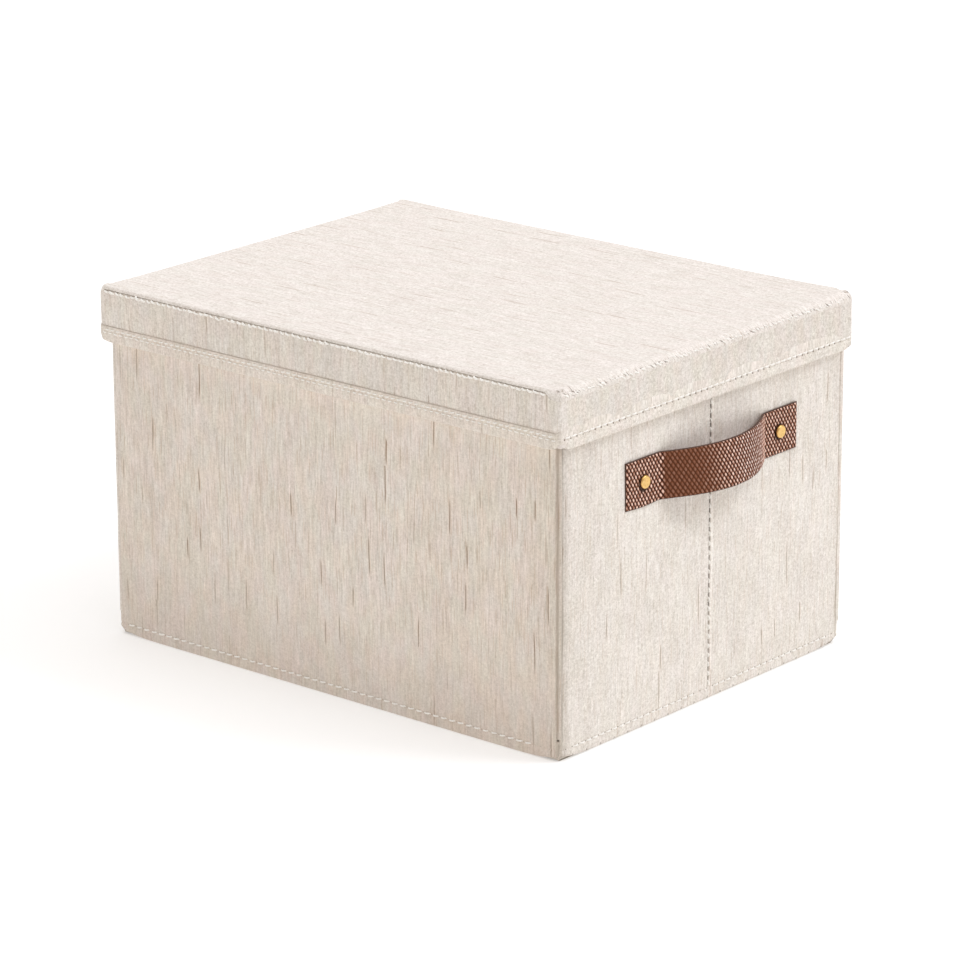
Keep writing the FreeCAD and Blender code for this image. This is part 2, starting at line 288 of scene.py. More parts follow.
# ---------------------------------------------------------------------------
# materials, all from nodes
# ---------------------------------------------------------------------------
class Nodes:
    def __init__(self, name):
        self.mat = bpy.data.materials.new(name)
        self.mat.use_nodes = True
        self.tree = self.mat.node_tree
        self.tree.nodes.clear()

    def node(self, kind, inputs=None, **props):
        n = self.tree.nodes.new(kind)
        for k, v in props.items():
            setattr(n, k, v)
        for k, v in (inputs or {}).items():
            self.put(n.inputs[k], v)
        return n

    def put(self, socket, v):
        if isinstance(v, bpy.types.NodeSocket):
            self.tree.links.new(v, socket)
        else:
            socket.default_value = v

    def m(self, op, a, b=0.0, c=0.0, clamp=False):
        n = self.tree.nodes.new("ShaderNodeMath")
        n.operation, n.use_clamp = op, clamp
        for s, v in zip(n.inputs, (a, b, c)):
            self.put(s, v)
        return n.outputs[0]

    def smooth(self, x, a, b, lo=0.0, hi=1.0):
        n = self.node("ShaderNodeMapRange", {"Value": x, "From Min": a, "From Max": b, "To Min": lo, "To Max": hi}, interpolation_type="SMOOTHSTEP")
        return n.outputs["Result"]

    def cloth(self):
        """The piece's own (u, v) along the cloth, in millimetres."""
        uv = self.node("ShaderNodeUVMap", uv_map="cloth").outputs["UV"]
        sep = self.node("ShaderNodeSeparateXYZ", {0: uv})
        return self.m("MULTIPLY", sep.outputs[0], 1000.0), self.m("MULTIPLY", sep.outputs[1], 1000.0)

    def noise(self, u, v, su, sv, w=0.0, detail=2.0, rough=0.5, distortion=0.0):
        vec = self.node("ShaderNodeCombineXYZ", {0: self.m("MULTIPLY", u, su), 1: self.m("MULTIPLY", v, sv), 2: w}).outputs[0]
        n = self.node("ShaderNodeTexNoise", {"Vector": vec, "Scale": 1.0, "Detail": detail, "Roughness": rough, "Distortion": distortion})
        return n.outputs[0]

    def mix(self, f, a, b, blend="MIX"):
        n = self.tree.nodes.new("ShaderNodeMix")
        n.data_type, n.blend_type = "RGBA", blend
        self.put(n.inputs[0], f)
        self.put(n.inputs[6], a)
        self.put(n.inputs[7], b)
        return n.outputs[2]

    def done(self, color, rough, bump=None, strength=0.5, distance=0.0002, **flat):
        p = self.node("ShaderNodeBsdfPrincipled", {"Base Color": color, "Roughness": rough})
        for k, v in flat.items():
            p.inputs[k.replace("_", " ")].default_value = v
        if bump is not None:
            b = self.node("ShaderNodeBump", {"Height": bump, "Strength": strength, "Distance": distance})
            self.tree.links.new(b.outputs[0], p.inputs["Normal"])
        out = self.node("ShaderNodeOutputMaterial")
        self.tree.links.new(p.outputs[0], out.inputs[0])
        return self.mat


def rgb(r, g, b):
    return (r, g, b, 1.0)


def linen(name, base, slub, seed, slubs=1.0, grain=1.0, streak=1.0, patch=1.0, warmth=0.4, hue=(0.0105, -0.0095, -0.0100),
          holes=(), lines=(), dashes=(), marks=(), shades=(), calm=(), fades=(), loose=0.0, wrap=0.0, bump=0.5):
    """Slub linen. Slubs, the thick places in the yarn, run along v. hue: how far the cloth drifts in red, green and
    blue.
    dashes: rows of gaps up the cloth, darkened as painted shade, (u0, pitch, phase, half width, half height, depth of
    tone, from, to).
    marks: painted shade of single folds or pulls in the cloth from one place to another, (u0, v0, u1, v1, half width,
    depth of tone).
    fades: (from, to, low, high) for slubs that grow stronger or weaker along v.
    calm: stretches of u with few slubs and more grain. loose: how unevenly the needle holes are spaced.
    holes: rows of needle holes, darkened as painted shade, (v, pitch, phase, half width, half height, depth of tone,
    list of (u0, u1) or None).
    lines: painted shade along gaps and creases, (axis, place, half width, depth of tone, from, to) along the other
    axis.
    shades: (axis, from, to, softness, tint) for stretches of another tone. wrap: marks repeat along u at this spacing."""
    t = Nodes(name)
    u, v = t.cloth()
    mu = u if not wrap else t.m("SUBTRACT", u, t.m("MULTIPLY", t.m("FLOOR", t.m("MULTIPLY", t.m("ADD", u, 2.0), 1.0 / wrap)), wrap))
    # the yarns wander a little
    wander = t.m("MULTIPLY", t.m("SUBTRACT", t.noise(u, v, 0.02, 0.018, seed + 7.7, 1.0), 0.5), 2.4)
    wander = t.m("ADD", wander, t.m("MULTIPLY", t.m("SUBTRACT", t.noise(u, v, 0.10, 0.05, seed + 8.8, 1.0), 0.5), 0.6))
    uw = t.m("ADD", u, wander)

    def spots(cu, cv, hu, hv, shift, low, high, beside=0.0):
        """Long thin tapered spots, at most one to a cell of cu by cv."""
        x = t.m("MULTIPLY", t.m("ADD", uw, shift + seed * 3.7), 1.0 / cu)
        y = t.m("MULTIPLY", t.m("ADD", v, shift * 1.7 + seed * 5.1), 1.0 / cv)
        vec = t.node("ShaderNodeCombineXYZ", {0: x, 1: y, 2: 0.0}).outputs[0]
        n = t.node("ShaderNodeTexVoronoi", {"Vector": vec, "Scale": 1.0, "Randomness": 1.0}, voronoi_dimensions="2D", feature="F1")
        d = t.node("ShaderNodeVectorMath", {0: vec, 1: n.outputs["Position"]}, operation="SUBTRACT").outputs[0]
        dx, dy = t.node("ShaderNodeSeparateXYZ", {0: d}).outputs[:2]
        r = t.node("ShaderNodeSeparateColor", {0: n.outputs["Color"]})
        longer = t.m("ADD", 0.6, t.m("MULTIPLY", r.outputs[1], 0.8))
        ey = t.m("DIVIDE", t.m("MULTIPLY", dy, cv / hv), longer)
        ey = t.m("MULTIPLY", ey, ey)
        ey = t.m("MULTIPLY", ey, ey)
        chance = t.smooth(r.outputs[0], low, high)

        def at(shift_x, half):
            ex = t.m("MULTIPLY", t.m("SUBTRACT", dx, shift_x / cu), cu / half)
            return t.m("MULTIPLY", t.smooth(t.m("SQRT", t.m("ADD", t.m("MULTIPLY", ex, ex), ey)), 1.0, 0.2), chance)

        return (at(0.0, hu), at(beside, hu * 0.7)) if beside else at(0.0, hu)

    bold, glint = spots(13.5, 44.0, 0.56, 12.5, 3.0, 0.40, 0.95, beside=1.15)
    mid = spots(6.0, 26.0, 0.56, 9.0, 11.0, 0.40, 1.0)
    thin = spots(2.6, 18.0, 0.40, 7.5, 29.0, 0.30, 1.0)
    halo = spots(13.5, 44.0, 1.7, 15.5, 3.0, 0.40, 0.95)
    long1 = t.noise(uw, v, 0.56, 0.042, seed + 0.3, 3.0, 0.58)
    fine1 = t.noise(uw, v, 1.1, 0.085, seed + 3.9, 2.0, 0.55)
    specks = t.noise(u, v, 0.66, 0.60, seed + 6.6, 3.0, 0.75)
    warp = t.noise(uw, v, 3.0, 0.42, seed + 1.1, 2.0, 0.6)
    weft = t.noise(u, v, 0.50, 2.2, seed + 2.2, 2.0, 0.6)
    cloud = t.noise(u, v, 0.055, 0.030, seed + 4.4, 2.0, 0.5)
    quiet = 0.0
    for lo, hi in calm:
        quiet = t.m("MAXIMUM", quiet, t.m("MULTIPLY", t.smooth(mu, lo - 1.5, lo + 1.5), t.smooth(mu, hi + 1.5, hi - 1.5)))
    few = t.m("SUBTRACT", 1.0, t.m("MULTIPLY", quiet, 0.65))
    for lo, hi, less, more in fades:
        few = t.m("MULTIPLY", few, t.smooth(v, lo, hi, less, more))
    tone = t.m("MULTIPLY", t.m("SUBTRACT", warp, 0.5), 0.33 * grain)
    tone = t.m("ADD", tone, t.m("MULTIPLY", t.m("SUBTRACT", weft, 0.5), 0.30 * grain))
    tone = t.m("ADD", tone, t.m("MULTIPLY", t.m("SUBTRACT", specks, 0.5), t.m("ADD", 0.66 * grain, t.m("MULTIPLY", quiet, 0.30))))
    tone = t.m("ADD", tone, t.m("MULTIPLY", t.m("SUBTRACT", long1, 0.5), t.m("MULTIPLY", few, 0.36 * streak)))
    tone = t.m("ADD", tone, t.m("MULTIPLY", t.m("SUBTRACT", fine1, 0.5), t.m("MULTIPLY", few, 0.38 * streak)))
    tone = t.m("ADD", tone, t.m("MULTIPLY", t.m("SUBTRACT", cloud, 0.5), 0.17 * patch))
    hue1 = t.smooth(t.noise(u, v, 0.13, 0.060, seed + 5.5, 0.6, 0.5), 0.34, 0.66)
    hue2 = t.smooth(t.noise(u, v, 0.10, 0.050, seed + 9.5, 0.6, 0.5), 0.34, 0.66)
    tint = t.mix(hue1, rgb(*(b * (1 - h) for b, h in zip(base, hue))), rgb(*(b * (1 + h) for b, h in zip(base, hue))))
    k = warmth
    tint = t.mix(1.0, tint, t.mix(hue2, rgb(1.0, 1.0, 1.0 + 0.018 * k), rgb(1.0, 1.0, 1.0 - 0.022 * k)), "MULTIPLY")
    # where the tone is darker the cloth is also a little browner
    grey = t.node("ShaderNodeCombineColor", {0: t.m("ADD", 1.0, t.m("MULTIPLY", tone, 0.99)), 1: t.m("ADD", 1.0, t.m("MULTIPLY", tone, 1.08)),
                                             2: t.m("ADD", 1.0, t.m("MULTIPLY", tone, 1.21))}).outputs[0]
    col = t.mix(1.0, tint, grey, "MULTIPLY")
    col = t.mix(t.m("MULTIPLY", thin, t.m("MULTIPLY", few, 0.48 * slubs)), col, rgb(slub[0] * 1.30, slub[1] * 1.28, slub[2] * 1.20))
    col = t.mix(t.m("MULTIPLY", halo, t.m("MULTIPLY", few, 0.13 * slubs)), col, rgb(slub[0] * 1.35, slub[1] * 1.15, slub[2] * 0.95))
    col = t.mix(t.m("MULTIPLY", mid, t.m("MULTIPLY", few, 0.42 * slubs)), col, rgb(slub[0] * 1.05, slub[1] * 1.0, slub[2] * 0.93))
    col = t.mix(t.m("MULTIPLY", glint, t.m("MULTIPLY", few, 0.34 * slubs)), col, rgb(min(1.0, base[0] * 1.14), min(1.0, base[1] * 1.12), min(1.0, base[2] * 1.10)))
    col = t.mix(t.m("MULTIPLY", bold, t.m("MULTIPLY", few, min(1.0, 0.92 * slubs))), col, rgb(slub[0] * 0.62, slub[1] * 0.55, slub[2] * 0.48))
    for axis, lo, hi, soft, tone3 in shades:
        x = mu if axis == "u" else v
        f = t.m("MULTIPLY", t.smooth(x, lo - soft, lo + soft), t.smooth(x, hi + soft, hi - soft))
        col = t.mix(f, col, rgb(*tone3), "MULTIPLY")
    # needle holes, seam gaps and folds: their darkness is painted shade
    hole = None
    hu = mu if not loose else t.m("ADD", mu, t.m("ADD", t.m("MULTIPLY", t.m("SUBTRACT", t.noise(u, v, 0.21, 0.02, seed + 2.9, 1.0), 0.5), 9.0 * loose), t.m("MULTIPLY", v, -0.50)))
    for v0, pitch, phase, hw, hh, deep, spans_u in holes:
        a = t.m("DIVIDE", t.m("SUBTRACT", v, v0), hh)
        x = t.m("DIVIDE", t.m("SUBTRACT", hu, phase), pitch)
        x = t.m("SUBTRACT", x, t.m("ROUND", x))
        b = t.m("DIVIDE", t.m("MULTIPLY", x, pitch), hw)
        d = t.m("SQRT", t.m("ADD", t.m("MULTIPLY", a, a), t.m("MULTIPLY", b, b)))
        one = t.m("MULTIPLY", t.smooth(d, 1.15, 0.55), deep)
        if loose:
            one = t.m("MULTIPLY", one, t.smooth(t.noise(u, v, 0.16, 0.12, seed + 4.1, 1.0), 0.34, 0.60, 0.35, 1.0))
        if spans_u:
            inside = None
            for lo, hi in spans_u:
                f = t.m("MULTIPLY", t.smooth(mu, lo - 0.5, lo + 0.5), t.smooth(mu, hi + 0.5, hi - 0.5))
                inside = f if inside is None else t.m("MAXIMUM", inside, f)
            one = t.m("MULTIPLY", one, inside)
        hole = one if hole is None else t.m("MAXIMUM", hole, one)
    # painted shade along gaps and creases
    gap = None
    for axis, place, half, deep, lo, hi in lines:
        x, o = (mu, v) if axis == "u" else (v, mu)
        d = t.m("ABSOLUTE", t.m("SUBTRACT", x, place))
        one = t.m("MULTIPLY", t.smooth(d, half * 1.25, half * 0.35), deep)
        one = t.m("MULTIPLY", one, t.m("MULTIPLY", t.smooth(o, lo - 0.8, lo + 0.8), t.smooth(o, hi + 0.8, hi - 0.8)))
        gap = one if gap is None else t.m("MAXIMUM", gap, one)
    for u0, pitch, phase, hw, hh, deep, lo, hi in dashes:
        x = t.m("DIVIDE", t.m("SUBTRACT", v, phase), pitch)
        x = t.m("ABSOLUTE", t.m("MULTIPLY", t.m("SUBTRACT", x, t.m("ROUND", x)), pitch / hh))
        y = t.m("ABSOLUTE", t.m("DIVIDE", t.m("SUBTRACT", mu, u0), hw))
        one = t.m("MULTIPLY", t.m("MULTIPLY", t.smooth(x, 1.2, 0.7), t.smooth(y, 1.3, 0.4)), deep)
        one = t.m("MULTIPLY", one, t.m("MULTIPLY", t.smooth(v, lo - 0.8, lo + 0.8), t.smooth(v, hi + 0.8, hi - 0.8)))
        hole = one if hole is None else t.m("MAXIMUM", hole, one)
    for u0, v0, u1, v1, hw, deep in marks:
        half = math.hypot(u1 - u0, v1 - v0) / 2
        cu, cv = (u1 - u0) / 2 / half, (v1 - v0) / 2 / half
        du, dv = t.m("SUBTRACT", u, (u0 + u1) / 2), t.m("SUBTRACT", v, (v0 + v1) / 2)
        a = t.m("ADD", t.m("MULTIPLY", du, cu / half), t.m("MULTIPLY", dv, cv / half))
        b = t.m("ADD", t.m("MULTIPLY", du, -cv / hw), t.m("MULTIPLY", dv, cu / hw))
        b = t.m("ADD", b, t.m("MULTIPLY", t.m("SUBTRACT", t.m("MULTIPLY", a, a), 0.5), 0.5))
        d = t.m("SQRT", t.m("ADD", t.m("MULTIPLY", a, a), t.m("MULTIPLY", b, b)))
        one = t.m("MULTIPLY", t.smooth(d, 1.15, 0.45), deep)
        hole = one if hole is None else t.m("MAXIMUM", hole, one)
    if gap is not None:
        gap = t.m("MULTIPLY", gap, t.smooth(specks, 0.36, 0.62, 0.42, 1.22))
        hole = gap if hole is None else t.m("MAXIMUM", hole, gap)
    if hole is not None:
        # mix the painted shade of holes, gaps, folds and creases into the colour
        col = t.mix(hole, col, rgb(slub[0] * 0.33, slub[1] * 0.31, slub[2] * 0.30))
    # relief: yarns over and under, slubs standing up
    wu = t.m("SINE", t.m("MULTIPLY", uw, 2 * math.pi / 0.62))
    wv = t.m("SINE", t.m("MULTIPLY", v, 2 * math.pi / 0.66))
    weave = t.m("MULTIPLY", t.m("MULTIPLY", wu, wv), 0.16)
    h = t.m("ADD", t.m("MULTIPLY", warp, 0.8), t.m("MULTIPLY", weft, 0.6))
    h = t.m("ADD", h, t.m("MULTIPLY", specks, 0.8))
    h = t.m("ADD", h, t.m("MULTIPLY", fine1, 0.5))
    h = t.m("ADD", h, t.m("MULTIPLY", t.m("MAXIMUM", bold, mid), 0.40))
    h = t.m("ADD", h, t.m("MULTIPLY", thin, 0.2))
    h = t.m("ADD", h, weave)
    if hole is not None:
        h = t.m("SUBTRACT", h, t.m("MULTIPLY", hole, 1.6))
    rough = t.m("ADD", 0.86, t.m("MULTIPLY", t.m("SUBTRACT", warp, 0.5), 0.12))
    return t.done(col, rough, h, bump, 0.00025, Specular_IOR_Level=0.22, Sheen_Weight=0.06, Sheen_Roughness=0.5)


LINEN = (0.775, 0.713, 0.642)
SLUB = (0.430, 0.320, 0.235)


def plain_cloth(name, base, seed, pitch=0.55, bump=0.35):
    """Plain thin lining cloth with a visible even weave and a little fluff."""
    t = Nodes(name)
    u, v = t.cloth()
    wu = t.m("SINE", t.m("MULTIPLY", u, 2 * math.pi / pitch))
    wv = t.m("SINE", t.m("MULTIPLY", v, 2 * math.pi / pitch))
    weave = t.m("MULTIPLY", wu, wv)
    yarn = t.noise(u, v, 1.9, 0.22, seed, 2.0, 0.55)
    yarn2 = t.noise(u, v, 0.22, 1.9, seed + 3, 2.0, 0.55)
    cloud = t.noise(u, v, 0.035, 0.035, seed + 6, 2.0)
    fluff = t.noise(u, v, 0.9, 0.9, seed + 8, 3.0, 0.6)
    val = t.m("ADD", 0.93, t.m("MULTIPLY", yarn, 0.08))
    val = t.m("ADD", val, t.m("MULTIPLY", yarn2, 0.08))
    val = t.m("ADD", val, t.m("MULTIPLY", t.m("SUBTRACT", cloud, 0.5), 0.10))
    val = t.m("ADD", val, t.m("MULTIPLY", weave, 0.02))
    col = t.mix(1.0, rgb(*base), t.node("ShaderNodeCombineColor", {0: val, 1: val, 2: t.m("MULTIPLY", val, 0.995)}).outputs[0], "MULTIPLY")
    h = t.m("ADD", t.m("MULTIPLY", weave, 0.35), t.m("ADD", yarn, t.m("MULTIPLY", fluff, 0.6)))
    rough = t.m("ADD", 0.82, t.m("MULTIPLY", fluff, 0.12))
    return t.done(col, rough, h, bump, 0.00018, Specular_IOR_Level=0.25)


def thread(name, base):
    t = Nodes(name)
    u, v = t.cloth()
    ply = t.m("SINE", t.m("ADD", t.m("MULTIPLY", v, 7.5), t.m("MULTIPLY", u, 2.4)))
    fuzz = t.noise(u, v, 3.0, 2.0, 4.0, 2.0, 0.6)
    val = t.m("ADD", 0.93, t.m("ADD", t.m("MULTIPLY", ply, 0.05), t.m("MULTIPLY", fuzz, 0.10)))
    col = t.mix(1.0, rgb(*base), t.node("ShaderNodeCombineColor", {0: val, 1: val, 2: val}).outputs[0], "MULTIPLY")
    return t.done(col, t.m("ADD", 0.62, t.m("MULTIPLY", fuzz, 0.15)), t.m("ADD", ply, fuzz), 0.5, 0.00008, Specular_IOR_Level=0.35, Sheen_Weight=0.15, Sheen_Roughness=0.4)


# the strap's embossing: pads in a slanted lattice, as waves per millimetre along (length, width)
K1, K2 = (0.3287, 0.2360), (0.2779, -0.1917)


def emboss(s, z):
    """0 in the channels, 1 on top of a pad."""
    p, q = K1[0] * s + K1[1] * z, K2[0] * s + K2[1] * z
    a = (0.5 + 0.5 * np.cos(2 * math.pi * p)) ** 0.80
    b = (0.5 + 0.5 * np.cos(2 * math.pi * q)) ** 0.34
    return a * b * (0.92 + 0.08 * np.cos(math.pi * q))


RIVET_AT = (17.4, 164.97)               # the rivets' places along the strap


def leather(name):
    t = Nodes(name)
    u, v = t.cloth()
    p = t.m("ADD", t.m("MULTIPLY", u, K1[0]), t.m("MULTIPLY", v, K1[1]))
    q = t.m("ADD", t.m("MULTIPLY", u, K2[0]), t.m("MULTIPLY", v, K2[1]))
    a = t.m("POWER", t.m("ADD", 0.5, t.m("MULTIPLY", t.m("COSINE", t.m("MULTIPLY", p, 2 * math.pi)), 0.5)), 0.80)
    b = t.m("POWER", t.m("ADD", 0.5, t.m("MULTIPLY", t.m("COSINE", t.m("MULTIPLY", q, 2 * math.pi)), 0.5)), 0.34)
    pad = t.m("MULTIPLY", a, b)
    row = t.m("ADD", 0.86, t.m("MULTIPLY", t.m("COSINE", t.m("MULTIPLY", q, math.pi)), 0.14))
    # painted shade where the loop rises from the wall, and paler pads as a painted reflection where it comes back to
    # the wall
    rise = t.m("MULTIPLY", t.smooth(u, 34.5, 37.0), t.smooth(u, 88.0, 56.0))
    back = t.m("MULTIPLY", t.smooth(u, 84.0, 108.0), t.smooth(u, 141.0, 130.0))
    pores = t.noise(u, v, 4.5, 4.5, 1.5, 3.0, 0.65)
    blotch = t.noise(u, v, 0.42, 0.34, 6.1, 3.0, 0.60)
    # pads paler than the channels: partly the leather's own wear, partly painted highlight; the near-black channels are
    # partly painted shade
    pad_wear_and_highlight = t.smooth(t.m("ADD", t.m("MULTIPLY", pad, row), t.m("MULTIPLY", t.m("SUBTRACT", blotch, 0.5), 0.95)), 0.36, 0.84)
    deep = rgb(0.022, 0.0050, 0.0020)
    mid = t.mix(rise, rgb(0.285, 0.110, 0.060), rgb(0.235, 0.082, 0.037))
    high = t.mix(back, rgb(0.960, 0.680, 0.560), rgb(0.920, 0.720, 0.640))
    col = t.mix(t.smooth(pad, 0.06, 0.44), deep, mid)
    col = t.mix(t.m("MULTIPLY", pad_wear_and_highlight, t.m("SUBTRACT", 0.96, t.m("MULTIPLY", rise, 0.76))), col, high)
    col = t.mix(t.m("MULTIPLY", rise, 0.50), col, rgb(0.150, 0.048, 0.019))
    # painted shadow in a dark ring round each rivet, where the leather is also pressed in
    for at in RIVET_AT:
        dx, dy = t.m("SUBTRACT", u, at), t.m("SUBTRACT", v, RIVET_Z)
        d = t.m("SQRT", t.m("ADD", t.m("MULTIPLY", dx, dx), t.m("MULTIPLY", dy, dy)))
        col = t.mix(t.m("MULTIPLY", t.smooth(d, 5.9, 4.8), 0.90), col, rgb(0.030, 0.010, 0.004))
    val = t.m("ADD", 0.86, t.m("MULTIPLY", blotch, 0.28))
    col = t.mix(1.0, col, t.node("ShaderNodeCombineColor", {0: val, 1: val, 2: val}).outputs[0], "MULTIPLY")
    rough = t.m("ADD", 0.42, t.m("MULTIPLY", t.m("SUBTRACT", 0.7, pad), 0.25))
    h = t.m("ADD", pad, t.m("MULTIPLY", pores, 0.28))
    return t.done(col, rough, h, 0.35, 0.00016, Specular_IOR_Level=0.12)


def leather_edge(name):
    t = Nodes(name)
    u, v = t.cloth()
    grain = t.noise(u, v, 1.6, 1.6, 2.0, 3.0, 0.6)
    col = t.mix(t.smooth(grain, 0.35, 0.65), rgb(0.050, 0.021, 0.012), rgb(0.105, 0.047, 0.028))
    return t.done(col, t.m("ADD", 0.5, t.m("MULTIPLY", grain, 0.2)), grain, 0.4, 0.0001, Specular_IOR_Level=0.4)


def brass(name):
    t = Nodes(name)
    u, v = t.cloth()
    scratch = t.noise(u, v, 6.0, 0.5, 3.0, 3.0, 0.6)
    tarnish = t.noise(u, v, 0.5, 0.35, 8.0, 3.0, 0.6)
    col = t.mix(t.smooth(tarnish, 0.35, 0.75), rgb(0.86, 0.585, 0.235), rgb(0.72, 0.43, 0.135))
    rough = t.m("ADD", 0.24, t.m("MULTIPLY", tarnish, 0.20))
    return t.done(col, rough, scratch, 0.12, 0.00005, Metallic=1.0)


def steel(name):
    t = Nodes(name)
    u, v = t.cloth()
    scratch = t.noise(u, v, 7.0, 0.4, 3.0, 3.0, 0.6)
    spots = t.noise(u, v, 0.6, 0.6, 8.0, 3.0, 0.6)
    col = t.mix(t.smooth(spots, 0.4, 0.7), rgb(0.60, 0.60, 0.59), rgb(0.47, 0.465, 0.455))
    return t.done(col, t.m("ADD", 0.30, t.m("MULTIPLY", spots, 0.15)), scratch, 0.15, 0.00005, Metallic=1.0)


def board(name):
    """Grey pressed board, read from its own position because these pieces come from the construction."""
    t = Nodes(name)
    co = t.node("ShaderNodeTexCoord").outputs["Object"]
    n1 = t.node("ShaderNodeTexNoise", {"Vector": co, "Scale": 420.0, "Detail": 4.0, "Roughness": 0.7}).outputs[0]
    n2 = t.node("ShaderNodeTexNoise", {"Vector": co, "Scale": 28.0, "Detail": 3.0, "Roughness": 0.5}).outputs[0]
    fibre = t.node("ShaderNodeMapping", {"Vector": co, "Scale": (300.0, 300.0, 2400.0)}).outputs[0]
    n3 = t.node("ShaderNodeTexNoise", {"Vector": fibre, "Scale": 1.0, "Detail": 2.0}).outputs[0]
    col = t.mix(t.smooth(n1, 0.35, 0.68), rgb(0.44, 0.40, 0.345), rgb(0.33, 0.295, 0.25))
    col = t.mix(t.m("MULTIPLY", t.smooth(n2, 0.4, 0.7), 0.4), col, rgb(0.50, 0.46, 0.40))
    h = t.m("ADD", n1, t.m("MULTIPLY", n3, 0.5))
    return t.done(col, t.m("ADD", 0.82, t.m("MULTIPLY", n1, 0.12)), h, 0.3, 0.0002, Specular_IOR_Level=0.2)


def webbing(name):
    t = Nodes(name)
    u, v = t.cloth()
    rib = t.m("SINE", t.m("MULTIPLY", u, 2 * math.pi / 1.5))
    zig = t.m("PINGPONG", t.m("ADD", v, t.m("MULTIPLY", t.m("PINGPONG", u, 3.0), 1.0)), 0.8)
    fuzz = t.noise(u, v, 2.5, 2.5, 2.0, 3.0, 0.6)
    val = t.m("ADD", 0.86, t.m("ADD", t.m("MULTIPLY", zig, 0.12), t.m("MULTIPLY", fuzz, 0.12)))
    col = t.mix(1.0, rgb(0.56, 0.47, 0.37), t.node("ShaderNodeCombineColor", {0: val, 1: val, 2: val}).outputs[0], "MULTIPLY")
    h = t.m("ADD", t.m("MULTIPLY", rib, 0.4), t.m("ADD", zig, t.m("MULTIPLY", fuzz, 0.5)))
    return t.done(col, t.m("ADD", 0.7, t.m("MULTIPLY", fuzz, 0.15)), h, 0.6, 0.0003, Specular_IOR_Level=0.3)


CORNER_Z = 14.4                         # the corner strips end in a small hole here
# stitch rows: (height, pitch)
HEM_Z = 7.4
HEM_PITCH_LONG, HEM_PITCH_END = 6.9, 6.5
SEAM_PITCH = 6.3
RIM_Z, RIM_PITCH = 228.0, 6.6
BAND_ROW_Z, BAND_PITCH = 211.5, 5.9
TOP_PITCH_LONG, TOP_PITCH_END = 4.75, 5.6

U_REAR = HEM_PITCH_LONG * 200            # where the rear wall's and the left wall's cloth starts
U_LEFT = HEM_PITCH_END * 160
ARC = RL * math.pi / 2
# where each side of the lid starts, measured round it from the left front corner
S_FRONT = (0.0, 2 * (LHX - RL))
S_RIGHT = (S_FRONT[1] + ARC, S_FRONT[1] + ARC + 2 * (LHY - RL))
S_REAR = (S_RIGHT[1] + ARC, S_RIGHT[1] + ARC + 2 * (LHX - RL))
S_LEFT = (S_REAR[1] + ARC, S_REAR[1] + ARC + 2 * (LHY - RL))
Z_SEAM_LONG, Z_SEAM_END = 239.3, 235.8
LONG_CREASE = [(-1.0, S_FRONT[1] + 1.0), (S_REAR[0] - 1.0, S_REAR[1] + 3.0), (S_LEFT[1] + ARC - 3.0, S_LEFT[1] + ARC + 1.0)]
LONG_EDGE = [(S_FRONT[0] - 1.0, S_FRONT[1] - 10.5), (S_REAR[0] + 10.5, S_REAR[1] + 1.0)]

# long walls: painted shade darker towards the floor, towards both ends of the front wall and most in a band beside its
# near corner; painted light under the lid's hem band where its shadow falls; painted shade along the creases beside the
# rear wall's corners. The base is a little darker and warmer than the end walls' as painted shade.
M_FRONT = linen("linen_long_walls", (LINEN[0] * 0.978, LINEN[1] * 0.960, LINEN[2] * 0.948), SLUB, 11.0, slubs=1.0, grain=0.82, streak=1.06, warmth=0.9, fades=[(34.0, 104.0, 0.70, 1.22), (170.0, 205.0, 1.0, 0.80)],
                holes=[(HEM_Z, HEM_PITCH_LONG, HEM_PITCH_LONG / 2, 0.55, 0.45, 0.30, None), (RIM_Z, RIM_PITCH, RIM_PITCH / 2, 0.6, 0.5, 0.4, None)],
                lines=[("u", U_REAR + x, 0.60, 0.20, 15.0, 236.0) for x in (-AXC - 0.2, AXC + 0.2)],
                shades=[("v", -40.0, 36.0, 46.0, (0.914, 0.896, 0.893)), ("u", 95.0, 420.0, 55.0, (0.982, 0.972, 0.960)), ("u", -400.0, -120.0, 50.0, (0.972, 0.966, 0.960)), ("u", 171.0, 300.0, 12.0, (0.960, 0.956, 0.950)),
                        ("v", 197.0, 300.0, 10.0, (1.12, 1.115, 1.12))])
# end walls: on the right end, painted shade towards its front corner and, stronger, in a strip beside that corner;
# painted shade in the seam's gaps and a painted highlight on the seam's ridge beside them; painted shade along the
# creases by the front corners and in the needle holes.
M_END = linen("linen_end_walls", (LINEN[0] * 1.003, LINEN[1] * 1.013, LINEN[2] * 1.026), SLUB, 37.0, slubs=0.76, grain=1.27, streak=0.92, hue=(0.0030, -0.0028, -0.0020), warmth=0.4,
              holes=[(HEM_Z, HEM_PITCH_END, HEM_PITCH_END / 2, 0.65, 0.6, 0.60, None), (RIM_Z, RIM_PITCH, RIM_PITCH / 2, 0.6, 0.5, 0.4, None),
                     (0.9, 13.7, 4.0, 0.8, 1.5, 0.5, None)],
              lines=[("u", x, 0.60, 0.26, 15.0, 236.0) for x in (-AYC, U_LEFT - AYC)],
              dashes=[(x + STRAP_Y - 0.05, SEAM_PITCH, 11.0 + SEAM_PITCH / 2, 0.62, 2.30, 0.68, 9.5, 225.0) for x in (0.0, U_LEFT)],
              shades=[("u", -160.0, -108.0, 24.0, (0.955, 0.950, 0.945)), ("u", -200.0, -139.2, 4.8, (0.800, 0.785, 0.765))]
              + [("u", x + STRAP_Y + 0.80, x + STRAP_Y + 2.7, 0.3, (1.145, 1.15, 1.16)) for x in (0.0, U_LEFT)])
